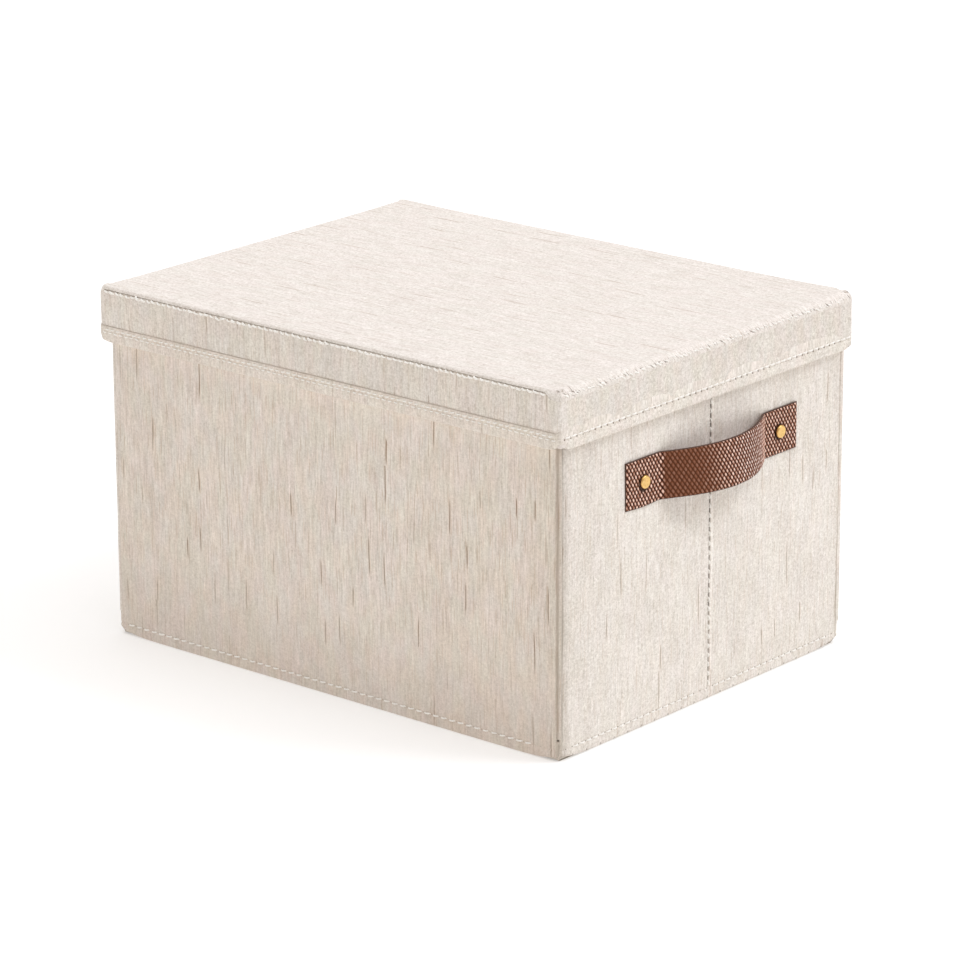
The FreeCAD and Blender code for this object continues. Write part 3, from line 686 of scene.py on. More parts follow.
def corner_cloth(name, near, shades):
    # painted shade along the bead's two creases (deeper on the near corner), along its lower crease and in the hole
    # where the strip ends
    lines = [("u", 1.50, 0.95, 0.20, 15.5, 236.5), ("u", 5.0, 0.60, 0.36, 15.5, 236.5)] if near else [("u", 0.1, 0.60, 0.10, 15.5, 236.5), ("u", 4.85, 0.60, 0.08, 15.5, 236.5)]
    return linen(name, tuple(c * 0.97 for c in LINEN), SLUB, 51.0, slubs=0.8, grain=1.0, wrap=200.0, holes=[(CORNER_Z, 200.0, 1.95, 0.95, 0.85, 0.97, None)],
                 lines=lines + [("u", 2.3, 0.65, 0.30, 0.0, 12.4)], shades=shades)


M_CORNER = corner_cloth("linen_corners", False, [])
# the near corner strip: painted shade over the whole bead, least at its edge by the front wall and most just beside
# that edge
M_CORNER_NEAR = corner_cloth("linen_corner_front", True, [("u", -1.0, 0.9, 0.7, (1.06, 1.05, 1.04)), ("u", 0.9, 2.3, 0.5, (0.95, 0.93, 0.91)), ("u", -1.0, 9.0, 0.4, (0.775, 0.742, 0.705))])
# painted shade of small pulls and folds where the cloth turns over the near corner
TOP_FOLD_SHADES = [(-137.3, 189.4, -138.3, 197.3, 0.42, 0.62), (-140.6, 198.2, -136.2, 200.4, 0.40, 0.50), (-136.2, 178.3, -137.4, 185.2, 0.45, 0.22),
             (-150.0, 191.6, -145.4, 192.9, 0.80, 0.24), (-134.9, 196.6, -133.4, 200.0, 0.40, 0.55), (145.6, 190.8, 148.6, 193.6, 0.55, 0.50)]
# the lid's top: painted shade in the needle holes along its end edges and at the folds above
M_TOP = linen("linen_lid_top", (LINEN[0], LINEN[1] * 1.005, LINEN[2] * 1.025), SLUB, 23.0, slubs=0.58, grain=1.24, streak=0.88, patch=0.3, warmth=0.0, hue=(0.0035, -0.0030, 0.0), loose=1.0, marks=TOP_FOLD_SHADES,
              holes=[(LHX + 1.15, TOP_PITCH_END * 0.8, -S_RIGHT[0] - (LHY - RL) + 0.5 * TOP_PITCH_END, 0.46, 2.20, 0.80, None),
                     (-(LHX + 1.15), TOP_PITCH_END * 0.8, S_LEFT[0] + (LHY - RL) + 0.5 * TOP_PITCH_END, 0.46, 2.20, 0.80, None)])
# the skirt: on the long sides, painted shade along the seam under the top's edge and along the crease above the hem
# band
M_SKIRT = linen("linen_lid_skirt", (LINEN[0] * 0.985, LINEN[1] * 0.988, LINEN[2] * 0.995), SLUB, 61.0, slubs=0.58, grain=1.15, streak=1.05, warmth=0.8, hue=(0.0080, -0.0072, -0.0065), calm=[S_RIGHT, S_LEFT],
                lines=[("v", Z_SEAM_LONG, 0.55, 0.22, a, b) for a, b in LONG_EDGE] + [("v", 214.95, 0.32, 0.26, a, b) for a, b in LONG_CREASE],
                shades=[("u", a, b, 2.0, (0.955, 0.952, 0.945)) for a, b in (S_RIGHT, S_LEFT)] + [("u", a, b, 2.0, (0.978, 0.970, 0.960)) for a, b in (S_FRONT, S_REAR)])
# the hem band: painted shade in the row of needle holes on the ends and along the crease at its top on the long sides
M_BAND = linen("linen_lid_hem", LINEN, SLUB, 71.0, slubs=0.4, grain=1.2, streak=0.85, warmth=0.5, hue=(0.0080, -0.0072, -0.0065), calm=[S_RIGHT, S_LEFT],
               holes=[(BAND_ROW_Z - 0.35, BAND_PITCH, BAND_PITCH / 2, 0.80, 0.70, 0.85, [S_RIGHT, S_LEFT])],
               lines=[("v", 214.8, 0.30, 0.26, a, b) for a, b in LONG_CREASE],
               shades=[("u", a, b, 1.5, (0.990, 0.972, 0.955)) for a, b in (S_FRONT, S_REAR)])
M_BASE = linen("linen_base", tuple(c * 0.93 for c in LINEN), SLUB, 83.0, slubs=0.6, grain=1.0)
M_BIND = linen("linen_binding", tuple(c * 0.98 for c in LINEN), SLUB, 91.0, slubs=0.3, grain=1.2)
M_LINING = plain_cloth("lining_cloth", (0.70, 0.645, 0.575), 5.0)
M_THREAD = thread("sewing_thread", (0.935, 0.905, 0.850))
M_STRAP = leather("strap_leather")
M_STRAP_EDGE = leather_edge("strap_leather_edge")
M_BRASS = brass("rivet_brass")
M_STEEL = steel("washer_steel")
M_BOARD = board("stiffening_board")
M_WEB = webbing("pull_webbing")


# ---------------------------------------------------------------------------
# Body: outer linen of the walls. Each is one cloth profile (offset from the
# outer face, height), swept along the wall: outer face, rounded foot, turned
# up hem inside, pocket back up to the rim.
# ---------------------------------------------------------------------------
WALLS = {
    "front": lambda t, n, z: np.stack(np.broadcast_arrays(t, -YO - n, z), -1),
    "rear": lambda t, n, z: np.stack(np.broadcast_arrays(t, YO + n, z), -1),
    "right": lambda t, n, z: np.stack(np.broadcast_arrays(XO + n, t, z), -1),
    "left": lambda t, n, z: np.stack(np.broadcast_arrays(-XO - n, t, z), -1),
}
Z_FINE = np.concatenate([np.arange(1.3, 5.6, 0.7), np.arange(5.8, 10.2, 0.35), np.arange(10.6, 226.0, 1.05), np.arange(226.6, 230.0, 0.5), np.arange(230.8, 236.4, 1.1)])
W_BIG = waves(3, 22, 40, 130)
W_MID = waves(4, 22, 9, 26, 2.2)


def wall_relief(t, z, t0, t1, pitch, seed, crease0=0.5, crease1=0.5):
    """How far the linen stands off its flat place."""
    d = 0.13 * W_BIG(t + seed * 97.0, z + seed * 31.0) + 0.045 * W_MID(t + seed * 57.0, z)
    low = 1 - step(z, 192, 206)
    mid = 4.0 * np.clip((t - t0) / (t1 - t0), 0, 1) * (1 - np.clip((t - t0) / (t1 - t0), 0, 1))
    d = d + 0.55 * mid * np.sin(math.pi * np.clip(z / 205.0, 0, 1)) * low
    near_foot = 1 - step(z, 9, 26)
    # the hem's sewn line, its fullness below, puckers beside the stitches
    d = d * (1 - 0.6 * near_foot)
    d = d - 0.34 * bell(z, HEM_Z, 0.75) + 0.10 * bell(z, 3.9, 2.0)
    d = d + 0.055 * np.cos(2 * math.pi * t / pitch) * bell(z, HEM_Z + 1.2, 2.6)
    d = d - 0.28 * bell(z, RIM_Z, 0.8) + 0.05 * np.cos(2 * math.pi * t / RIM_PITCH) * bell(z, RIM_Z, 2.5)
    # creases beside the corner strips and the fold line
    d = d - crease0 * bell(t, t0, 0.75) - crease1 * bell(t, t1, 0.75)
    return d


def wall_linen(name, wall, t0, t1, pitch, mat, seed, uoff, crease0=0.5, crease1=0.5, extra=None, gap=1.7):
    if extra is None:
        ts = spaced(t0, t1, gap, 0.35, 2.1, 2.1)
    else:
        y0 = STRAP_Y
        ts = np.concatenate([np.linspace(t0, y0 - 1.0, 5)[:-1], np.arange(y0 - 1.0, y0 + 1.55, 0.17), np.arange(y0 + 1.7, y0 + 4.9, 0.4), spaced(y0 + 5.2, t1, gap, 0.35, 0.0, 2.1)])
    tt, zz = np.meshgrid(ts, Z_FINE, indexing="ij")
    n_out = wall_relief(tt, zz, t0, t1, pitch, seed, crease0, crease1)
    # the same height on both sides of a soft hinge
    if extra is not None:
        n_out = n_out + extra(tt, zz)
    # an end wall's foot clears the gusset cloth, which it passes over as the box folds
    up = 0.42 if wall in ("right", "left") else 0.0
    foot = [(-0.12, 0.72 + 0.15 * up), (-0.42, 0.25 + 0.6 * up), (-0.9, 0.02 + 0.95 * up), (-1.5, up), (-2.1, 0.02 + 0.95 * up), (-2.45, 0.35 + 0.5 * up), (-2.58, 0.9)]
    inner = [(-2.6, 2.2), (-2.6, 5.0), (-2.6, 7.9), (-2.2, 8.1), (-1.0, 8.1), (-0.62, 8.3), (-0.6, 60.0), (-0.6, 150.0), (-0.6, 225.0), (-0.6, 236.6)]
    top = [(-0.55, 237.1), (-0.38, 237.34), (-0.2, 237.25), (-0.06, 236.95)]
    col = [np.stack([n_out[:, ::-1], zz[:, ::-1]], -1)]           # down the outer face
    near = np.minimum(ts - t0, t1 - ts if extra is None and abs(t1) > 20 else ts - t0)
    if abs(t0) < 20:
        near = t1 - ts
    elif abs(t1) < 20:
        near = ts - t0
    raised = 3.1 * np.exp(-(np.maximum(near, 0) / 9.5) ** 1.2)
    col[0][:, :, 1] += raised[:, None] * (1 - step(col[0][:, :, 1], 0.0, 7.0))
    for part, ease in ((foot, True), (inner, False), (top, False)):
        block = np.broadcast_to(np.array(part, float), (len(ts), len(part), 2)).copy()
        if part is foot:
            block[:, :, 1] += raised[:, None] * np.array([1, 1, 1, 1, 0.9, 0.6, 0.3])[None]
        if ease:
            block[:, 0, 0] += n_out[:, 0] * 0.7
            block[:, 1, 0] += n_out[:, 0] * 0.3
        if part is top:
            block[:, 2, 0] += n_out[:, -1] * 0.4
            block[:, 3, 0] += n_out[:, -1] * 0.8
        col.append(block)
    prof = np.concatenate(col, 1)
    rows = WALLS[wall](ts[:, None], prof[..., 0], prof[..., 1])
    v = np.empty(prof.shape[1] + 1)
    k = len(Z_FINE)
    v[:k] = Z_FINE[::-1]
    step_len = np.hypot(*np.moveaxis(np.diff(prof[len(ts) // 2], axis=0), -1, 0))
    v[k:-1] = v[k - 1] - np.cumsum(step_len[k - 1:])
    v[-1] = v[-2] - 0.5
    uv = np.stack(np.meshgrid(ts + uoff, v, indexing="ij"), -1)
    ob = tube(name, rows, uv, mat)
    return ob


def seam_lap(t, z):
    """The end wall's sewn seam: a groove that the thread crosses, and beside it the low ridge of the cloth turned under."""
    y = t - STRAP_Y
    live = step(z, 8.0, 9.6) * (1 - step(z, 226.0, 227.5))
    between = 0.5 - 0.5 * np.cos(2 * math.pi * (z - 11.0) / SEAM_PITCH)
    deep = 0.50 + 0.50 * np.clip(between * 1.5, 0, 1)
    groove = -1.15 * deep * np.exp(-(np.abs(y) / 0.52) ** 3)
    ridge = 0.46 * step(y, 0.45, 1.05) * (1 - step(y, 2.7, 3.5)) + 0.16 * bell(y, 1.2, 0.5)
    side = 0.10 * bell(y, -1.1, 0.5)
    dip = -0.12 * bell(y, 3.9, 0.45)
    return (groove + ridge + dip + side) * live


# long walls run from corner hinge to corner hinge
# needle holes repeat from u = 0, so that offsets are whole pitches
U_FRONT, U_RIGHT = 0.0, 0.0

pieces = {}
pieces["front_wall_linen"] = (wall_linen("front_wall_linen", "front", -AXC, AXC, HEM_PITCH_LONG, M_FRONT, 1.0, U_FRONT, 0.15, 0.12), "front_wall", "front_wall_fabric")
pieces["rear_wall_linen"] = (wall_linen("rear_wall_linen", "rear", -AXC, AXC, HEM_PITCH_LONG, M_FRONT, 2.0, U_REAR), "rear_wall", "rear_wall_fabric")
for side, uo in (("right", U_RIGHT), ("left", U_LEFT)):
    s = 3.0 if side == "right" else 5.0
    pieces[side + "_front_leaf_linen"] = (
        wall_linen(side + "_front_leaf_linen", side, -AYC, -SEAM, HEM_PITCH_END, M_END, s, uo, 0.5, 0.0), side + "_front_leaf", side + "_front_leaf_fabric")
    pieces[side + "_rear_leaf_linen"] = (
        wall_linen(side + "_rear_leaf_linen", side, SEAM, AYC, HEM_PITCH_END, M_END, s + 1.0, uo, 0.0, 0.15, extra=seam_lap), side + "_rear_leaf", side + "_rear_leaf_fabric")
for name, (ob, body, node) in pieces.items():
    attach(ob, body)
    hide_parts(node)


# ---------------------------------------------------------------------------
# Corner strips. The linen bridges from one board to the next round the corner
# hinge, so each strip is a round bead about the hinge axis between two creases.
# Below the hem's stitches it is pinched to a plain corner.
# ---------------------------------------------------------------------------
Z_CORNER = np.concatenate([np.arange(1.0, 5.0, 0.8), np.arange(5.0, 17.6, 0.3), np.arange(18.0, 235.8, 2.6), [236.2, 236.7, 237.05, 237.3]])


def corner_rows(phis, zs, r_end0, r_end1, r_in, full, hole_at=None, power=4.5, crease=(0.70, 0.0, 0.70)):
    """Loops of (radius, angle in degrees) for each height. phi runs from the long wall (0) to the end wall (90)."""
    pp, zz = np.meshgrid(phis, zs, indexing="xy")
    q = np.clip(pp / 90.0, 0, 1)
    flat = r_end0 + (r_end1 - r_end0) * q
    if full:
        up = step(zz, CORNER_Z - 1.9, CORNER_Z + 0.6)
        c_, s_ = np.cos(np.radians(pp)).clip(1e-3), np.sin(np.radians(pp)).clip(1e-3)
        full_corner = flat * ((c_ ** power + s_ ** power) ** (-1 / power) - 1)
        c0, at0, c1 = crease
        bead = full_corner + 0.10 * np.sin(math.pi * q) ** 0.8 - c0 * bell(pp, at0, 10) - c1 * bell(pp, 90, 9)
        # the bead is uneven, as a turned edge is
        bead = bead + 0.05 * np.sin(zz / 9.0 + 1.3) * np.sin(math.pi * q)
        square = 0.02 * np.exp(-((pp - 45) / 26.0) ** 2) - 0.16 * bell(pp, 46, 8)
        out = flat + up * bead + (1 - up) * square
        out = out - 0.30 * bell(zz, HEM_Z, 0.8) * (1 - 0.5 * up)
        if hole_at is not None:
            hp, hz = hole_at
            out = out - 2.2 * np.exp(-(((pp - hp) / 15.0) ** 2 + ((zz - hz) / 0.85) ** 2))
        foot = 1 - step(zz, 0.0, 2.6)
        top = step(zz, 236.4, 237.35)
        out = out - 1.25 * foot ** 2 - 0.5 * top ** 2
    else:
        out = np.full_like(flat, r_end0)
    return pp, zz, out


def corner(name, centre, ang0, sign, seed, mat, zs=Z_CORNER, r0=3.0, r1=3.3, r_in=0.35, full=True, span=(0.0, 90.0), hole_at=None, power=4.5, crease=(0.70, 0.0, 0.70)):
    """A bead round the hinge at centre. ang0 is the direction of the long wall's outer face, and sign turns it towards the end wall's."""
    phis = np.linspace(span[0], span[1], 29)
    pp, zz, out = corner_rows(phis, zs, r0, r1, r_in, full, hole_at, power, crease)
    if full:
        out = out + 0.03 * W_MID(pp * 0.06 + seed * 13.0, zz)
    inn_phi = np.linspace(span[1], span[0], 6)
    ia, iz = np.meshgrid(inn_phi, zs, indexing="xy")
    ang = np.radians(ang0 + sign * np.concatenate([pp, ia], 1))
    rad = np.concatenate([out, np.full_like(ia, r_in)], 1)
    z3 = np.concatenate([zz, iz], 1)
    if full:
        # below the hem's stitches the corner is pinched up off the ground
        z3[:, : len(phis)] += 4.0 * (1 - step(z3[:, : len(phis)], 0.0, 7.0))
    z3[0] = z3[0] - 0.6
    rows = np.stack([centre[0] + rad * np.cos(ang), centre[1] + rad * np.sin(ang), z3], -1)
    # a level foot and top
    low, high = rows[0].copy(), rows[-1].copy()
    low[:, 2] = low[:, 2] - 0.35
    c = np.array([centre[0], centre[1]])
    low[:, :2] = c + (low[:, :2] - c) * 0.86
    high[:, 2] = 237.4
    high[:, :2] = c + (high[:, :2] - c) * 0.93
    rows = np.concatenate([low[None], rows, high[None]])
    arc = np.concatenate([phis * 3.15 * math.pi / 180, 5.2 + (span[1] - inn_phi) * 0.35 * math.pi / 180, [10.0]])
    zz2 = np.concatenate([[0.0], zs, [237.4]])
    uv = np.stack(np.meshgrid(arc + seed * 200.0, zz2, indexing="xy"), -1)
    return tube(name, rows, uv, mat, sharp=50)


NODE_OF = {}
c = corner("right_front_corner_linen", (AXC, -AYC), -90.0, 1.0, 1.0, M_CORNER_NEAR, hole_at=(36.0, CORNER_Z), crease=(0.46, 24.0, 0.62))
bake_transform(c)
c = corner("left_front_corner_linen", (-AXC, -AYC), -90.0, -1.0, 2.0, M_CORNER, power=2.8, hole_at=(36.0, CORNER_Z), crease=(0.22, 0.0, 0.40))
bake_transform(c)
c = corner("right_rear_corner_linen", (AXC, AYC), 90.0, -1.0, 3.0, M_CORNER, r0=3.5, r1=3.8, power=7.0, hole_at=(36.0, CORNER_Z), crease=(0.40, 0.0, 0.15))
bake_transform(c)
# the left rear corner is the linkage's open pivot: the wall keeps the outer
# bead and the leaf a tongue inside it, which slides out as the corner opens
c = corner("left_rear_corner_linen", (-AXC, AYC), 90.0, 1.0, 4.0, M_CORNER, r_in=2.35, hole_at=(36.0, CORNER_Z))
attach(c, "rear_wall")
Z_TONGUE = np.concatenate([[1.2], np.arange(6.0, 236.0, 6.0), [236.3, 237.0]])
c = corner("left_rear_corner_tongue", (-AXC, AYC), 90.0, 1.0, 5.0, M_CORNER, zs=Z_TONGUE, r0=2.3, r1=2.3, r_in=0.35, full=False, span=(3.0, 90.0))
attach(c, "left_rear_leaf")


# ---------------------------------------------------------------------------
# Soft hinges of the end walls: cloth from the outer face to the lining between
# the two boards, across the fold line. The sewn seam lies just behind it.
# ---------------------------------------------------------------------------
def soft_hinge(side):
    sx = 1.0 if side == "right" else -1.0
    ys = np.linspace(-SEAM, SEAM, 15)
    zs = Z_FINE
    yy, zz = np.meshgrid(ys, zs, indexing="xy")
    # meet the two leaves' own relief at the strip's edges
    sd = 3.0 if side == "right" else 5.0
    left = wall_relief(np.full_like(zz, -SEAM), zz, -AYC, -SEAM, HEM_PITCH_END, sd, 0.5, 0.0)
    right = wall_relief(np.full_like(zz, SEAM), zz, SEAM, AYC, HEM_PITCH_END, sd + 1.0, 0.0, 0.5)
    f = step(yy, -SEAM, SEAM)
    n = left * (1 - f) + right * f
    inner_y = np.linspace(SEAM, -SEAM, 7)
    iy, iz = np.meshgrid(inner_y, zs, indexing="xy")
    nin = np.full_like(iy, -2.98) + 0.25 * np.exp(-(iy / 0.5) ** 2)
    rows = np.stack([sx * (XO + np.concatenate([n, nin], 1)), np.concatenate([yy, iy], 1), np.concatenate([zz, iz], 1)], -1)
    ends = []
    for z, k in ((0.78, -0.12), (0.50, -0.42), (0.42, -0.9)):
        r = rows[0].copy()
        r[:, 2] = z
        r[:15, 0] += sx * k
        r[15:, 0] -= sx * k * 0.5
        ends.append(r)
    tops = []
    for z, k in ((236.95, -0.06), (237.25, -0.2), (237.38, -0.45)):
        r = rows[-1].copy()
        r[:, 2] = z
        r[:15, 0] += sx * k
        tops.append(r)
    rows = np.concatenate([np.array(ends[::-1]), rows, np.array(tops)])
    v = np.concatenate([[0.0, 0.4, 0.9], zs, [236.95, 237.25, 237.5]])
    u = np.concatenate([ys, SEAM + 3.0 + (SEAM - inner_y), [12.0]]) + (U_RIGHT if side == "right" else U_LEFT)
    uv = np.stack(np.meshgrid(u, v, indexing="xy"), -1)
    ob = tube(side + "_soft_hinge", rows, uv, M_END, sharp=50)
    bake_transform(ob)
    # thread bars across the seam's groove, and the short lengths between them
    zc = np.arange(11.0, 226.0, SEAM_PITCH)
    at = np.stack([np.full_like(zc, sx * (XO - 0.20)), np.full_like(zc, STRAP_Y - 0.02), zc], -1)
    st = stitches(side + "_end_seam_thread", at, np.tile([0.0, 0.0, 1.0], (len(zc), 1)), np.tile([sx, 0.0, 0.0], (len(zc), 1)),
                  M_THREAD, length=2.8, r=0.62, slant=7.0 * sx, rise=0.42, seed=21)
    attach(st, side + "_rear_leaf")


soft_hinge("right")
soft_hinge("left")


# ---------------------------------------------------------------------------
# Rim binding, lining and the stitches of hem and rim
# ---------------------------------------------------------------------------
def binding(name, wall, t0, t1, seed):
    ts = spaced(t0, t1, 2.2)
    prof = [(-0.45, 236.3), (-0.45, 237.0), (-0.62, 237.28), (-1.0, 237.4), (-1.8, 237.42), (-2.5, 237.36), (-2.95, 237.0), (-3.12, 236.2),
            (-3.16, 233.5), (-3.16, 230.2), (-3.10, 228.9), (-2.98, 228.0), (-3.10, 227.1), (-3.15, 226.2), (-3.05, 225.45), (-2.75, 225.4), (-2.7, 227.0), (-2.7, 231.0), (-2.7, 236.0), (-1.6, 236.3)]
    p = np.array(prof)
    k = np.array([0, 0, .3, .6, 1, 1, 1, 1, 1, 1, .7, .3, .7, 1, .8, 0, 0, 0, 0, 0])
    wob = 0.05 * waves(int(seed * 7) + 3, 12, 8, 40)(ts, ts * 0)
    rows = WALLS[wall](ts[:, None], p[None, :, 0] - wob[:, None] * k[None], p[None, :, 1] + 0 * ts[:, None])
    v = np.concatenate([[0], np.cumsum(np.hypot(*np.diff(p, axis=0).T))])
    v = np.append(v, v[-1] + 1.2)
    uv = np.stack(np.meshgrid(ts + seed * 300, v, indexing="ij"), -1)
    return tube(name, rows, uv, M_BIND)


def lining(name, wall, t0, t1, seed, z0=0.7):
    ts = spaced(t0, t1, 4.0, 1.0, 2.0, 2.0)
    zs = np.concatenate([[z0, z0 + 0.7, 2.6], np.arange(6.0, 224.0, 4.2), [226.5]])
    tt, zz = np.meshgrid(ts, zs, indexing="ij")
    soft = waves(int(seed * 11) + 1, 20, 25, 90)
    n = -2.99 + 0.09 * (0.5 + 0.5 * soft(tt, zz)).clip(0, 1)
    top = WALLS[wall](tt, n, zz)
    bot = WALLS[wall](tt, np.full_like(n, -2.66), zz)
    uv = np.stack([tt + seed * 500.0, zz], -1)
    ob = slab(name, top, bot, uv, M_LINING)
    return ob


def row_on(wall, ts, n, z):
    pos = WALLS[wall](ts, np.full_like(ts, n) if np.isscalar(n) else n, np.full_like(ts, z))
    out = {"front": (0, -1, 0), "rear": (0, 1, 0), "right": (1, 0, 0), "left": (-1, 0, 0)}[wall]
    along = {"front": (1, 0, 0), "rear": (1, 0, 0), "right": (0, 1, 0), "left": (0, 1, 0)}[wall]
    return pos, np.tile(np.array(along, float), (len(ts), 1)), np.tile(np.array(out, float), (len(ts), 1))


def sewn(name, wall, t0, t1, z, pitch, body, seed, n=-0.30, length=4.4, r=0.42, inside=False, relief=None, **kw):
    k0, k1 = math.ceil(t0 / pitch), math.floor(t1 / pitch)
    ts = np.arange(k0, k1 + 1) * pitch
    pos, along, out = row_on(wall, ts, n if relief is None else relief(ts, np.full_like(ts, z)), z)
    if inside:
        out = -out
    ob = stitches(name, pos, along, out, M_THREAD, length=length, r=r, seed=seed, **kw)
    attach(ob, body)
    return ob


spans = [
    ("front_wall", "front", -AXC, AXC, HEM_PITCH_LONG, 1.0, None, 0.15, 0.12),
    ("rear_wall", "rear", -AXC, AXC, HEM_PITCH_LONG, 2.0, None, 0.5, 0.5),
    ("right_front_leaf", "right", -AYC, -SEAM, HEM_PITCH_END, 3.0, None, 0.5, 0.0),
    ("right_rear_leaf", "right", SEAM, AYC, HEM_PITCH_END, 4.0, seam_lap, 0.0, 0.15),
    ("left_front_leaf", "left", -AYC, -SEAM, HEM_PITCH_END, 5.0, None, 0.5, 0.0),
    ("left_rear_leaf", "left", SEAM, AYC, HEM_PITCH_END, 6.0, seam_lap, 0.0, 0.15),
]
for body, wall, t0, t1, pitch, seed, lap, c0, c1 in spans:
    def relief(t, z, t0=t0, t1=t1, pitch=pitch, seed=seed, lap=lap, c0=c0, c1=c1):
        d = wall_relief(t, z, t0, t1, pitch, seed, c0, c1)
        return d if lap is None else d + lap(t, z)

    i0, i1 = t0 + 0.25, t1 - (1.7 if body == "rear_wall" else 0.25)
    b = binding(body + "_rim_binding_cloth", wall, i0, i1, seed)
    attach(b, body)
    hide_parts(body + "_rim_binding")
    li = lining(body + "_lining_cloth", wall, t0 + 0.05, t1 - 0.05, seed)
    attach(li, body)
    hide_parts(body + "_lining")
    sewn(body + "_hem_stitches", wall, t0 + 7.0, t1 - (18.0 if body == "front_wall" else 7.0), HEM_Z, pitch, body, int(seed) + 30, length=4.5 if wall in ("front", "rear") else 4.2,
         r=0.60 if wall in ("front", "rear") else 0.58, relief=relief, rise=0.38)
    sewn(body + "_rim_stitches", wall, t0 + 3.0, t1 - 3.0, RIM_Z, RIM_PITCH, body, int(seed) + 40, length=4.3, r=0.36, relief=relief, rise=0.16)
    sewn(body + "_rim_stitches_inside", wall, t0 + (3.0 if abs(t0) < 20 else 12.0), t1 - (3.0 if abs(t1) < 20 else 12.0), RIM_Z, RIM_PITCH, body, int(seed) + 50, n=-2.98, length=4.3, r=0.30, inside=True, rise=0.12)


# ---------------------------------------------------------------------------
# Lid. Sample points round the skirt: position, outward direction, distance
# round from the middle of the front, and how much this spot belongs to a long
# side (1) or an end (0).
# ---------------------------------------------------------------------------
def perimeter(hx, hy, r, gap, arc=9):
    pts = []

    def line(a, b, n, k):
        count = max(2, int(round(math.dist(a, b) / gap)))
        for i in range(count):
            f = i / count
            pts.append((a[0] + (b[0] - a[0]) * f, a[1] + (b[1] - a[1]) * f, n[0], n[1], k))

    def bend(c, a0, k0, k1):
        for i in range(arc):
            f = i / arc
            a = math.radians(a0 + 90 * f)
            s = f * f * (3 - 2 * f)
            pts.append((c[0] + r * math.cos(a), c[1] + r * math.sin(a), math.cos(a), math.sin(a), k0 + (k1 - k0) * s))

    ax, ay = hx - r, hy - r
    line((-ax, -hy), (ax, -hy), (0, -1), 1.0)
    bend((ax, -ay), -90, 1.0, 0.0)
    line((hx, -ay), (hx, ay), (1, 0), 0.0)
    bend((ax, ay), 0, 0.0, 1.0)
    line((ax, hy), (-ax, hy), (0, 1), 1.0)
    bend((-ax, ay), 90, 1.0, 0.0)
    line((-hx, ay), (-hx, -ay), (-1, 0), 0.0)
    bend((-ax, -ay), 180, 0.0, 1.0)
    p = np.array(pts)
    d = np.hypot(*(np.roll(p[:, :2], -1, 0) - p[:, :2]).T)
    s = np.concatenate([[0], np.cumsum(d)[:-1]])
    return p, s, float(d.sum())


def around(p, off, z):
    """Points at offset off (outwards) and height z over the perimeter, (n, m, 3)."""
    x = p[:, None, 0] + p[:, None, 2] * off
    y = p[:, None, 1] + p[:, None, 3] * off
    return np.stack([x, y, z], -1)


def edge_kind(p, s, total, left_on, left_off, right_on, right_off):
    """1 where a long side has its own edge, fading to 0 towards the corners. A corner at -X fades from left_on to left_off, measured
    in mm into the corner from the end of the long side, and one at +X from right_on to right_off."""
    x, y = p[:, 0], p[:, 1]
    ang = np.degrees(np.arctan2(np.abs(p[:, 3]), np.abs(p[:, 2])))       # 90 on a long side, 0 on an end
    into = np.abs(x) - (LHX - RL)
    arc = (90.0 - ang) * math.pi / 180 * RL
    d = np.where(ang > 89.99, into, arc)
    k = np.where(x < 0, 1 - step(d, left_on, left_off), 1 - step(d, right_on, right_off))
    return np.where(ang < 0.01, 0.0, k)


def nudge(ob):
    """The lid sits a hair to the left and front of the body's middle, as in the photo."""
    ob.data.transform(Matrix.Translation((-0.5 * MM, -0.35 * MM, 0)))
    return ob


PER, PER_S, PER_L = perimeter(LHX, LHY, RL, 1.9)
KL = edge_kind(PER, PER_S, PER_L, 1.6, 3.4, -2.0, 1.5)
K_TOP = edge_kind(PER, PER_S, PER_L, -1.5, 1.5, -11.5, -5.0)


def ring_noise(seed, count, shortest, longest):
    """Smooth random height round the lid that closes on itself."""
    r = np.random.RandomState(seed)
    n = np.round(PER_L / np.exp(r.uniform(math.log(shortest), math.log(longest), count)))
    kz, ph = r.uniform(0, 2 * math.pi / 30.0, count), r.uniform(0, 2 * math.pi, count)

    def f(s, z):
        return np.sin(2 * math.pi * s[..., None] * n / PER_L + z[..., None] * kz + ph).sum(-1) * math.sqrt(2.0 / count)

    return f


# --- skirt
k_long = K_TOP[:, None]
k_low = KL[:, None]
zseam = Z_SEAM_END + (Z_SEAM_LONG - Z_SEAM_END) * k_long
levels = np.concatenate([[0.0, 0.25, 0.6, 1.1], np.linspace(1.8, 20.0, 13), [21.6, 22.6, 23.4, 24.4, 26.0, 28.4, 31.0]])
span = levels / 31.0
zz = zseam - span[None, :] * (zseam - 206.0)
ss = np.broadcast_to(PER_S[:, None], zz.shape)
wob = ring_noise(6, 16, 30, 120)(ss, zz)
off = 0.09 * wob + 0.03 * ring_noise(7, 20, 8, 24)(ss, zz)
off = off - 0.40 * k_long * bell(zz, zseam, 0.40) - 0.02 * (1 - k_long) * bell(zz, zseam, 0.5)
off = off - 0.16 * k_long * bell(zz, zseam - 1.5, 0.6)
off = off - 0.65 * k_low * step(zz, 215.9, 214.7)
back = np.array([(-0.45, 206.0), (-0.5, 222.0), (-0.5, 235.0)])
boff = np.broadcast_to(back[None, :, 0], (len(PER), 3)) - 0.65 * k_low * np.array([1.0, 0.0, 0.0])[None]
bz = np.broadcast_to(back[None, :, 1], (len(PER), 3))
rows = around(PER, np.concatenate([off, boff], 1), np.concatenate([zz, bz], 1))
vv = np.concatenate([zz[0], [200.0, 184.0, 170.0, 166.0]])
uv = np.stack(np.meshgrid(np.append(PER_S, PER_L), vv, indexing="ij"), -1)
uv[:-1, : zz.shape[1], 1] = zz
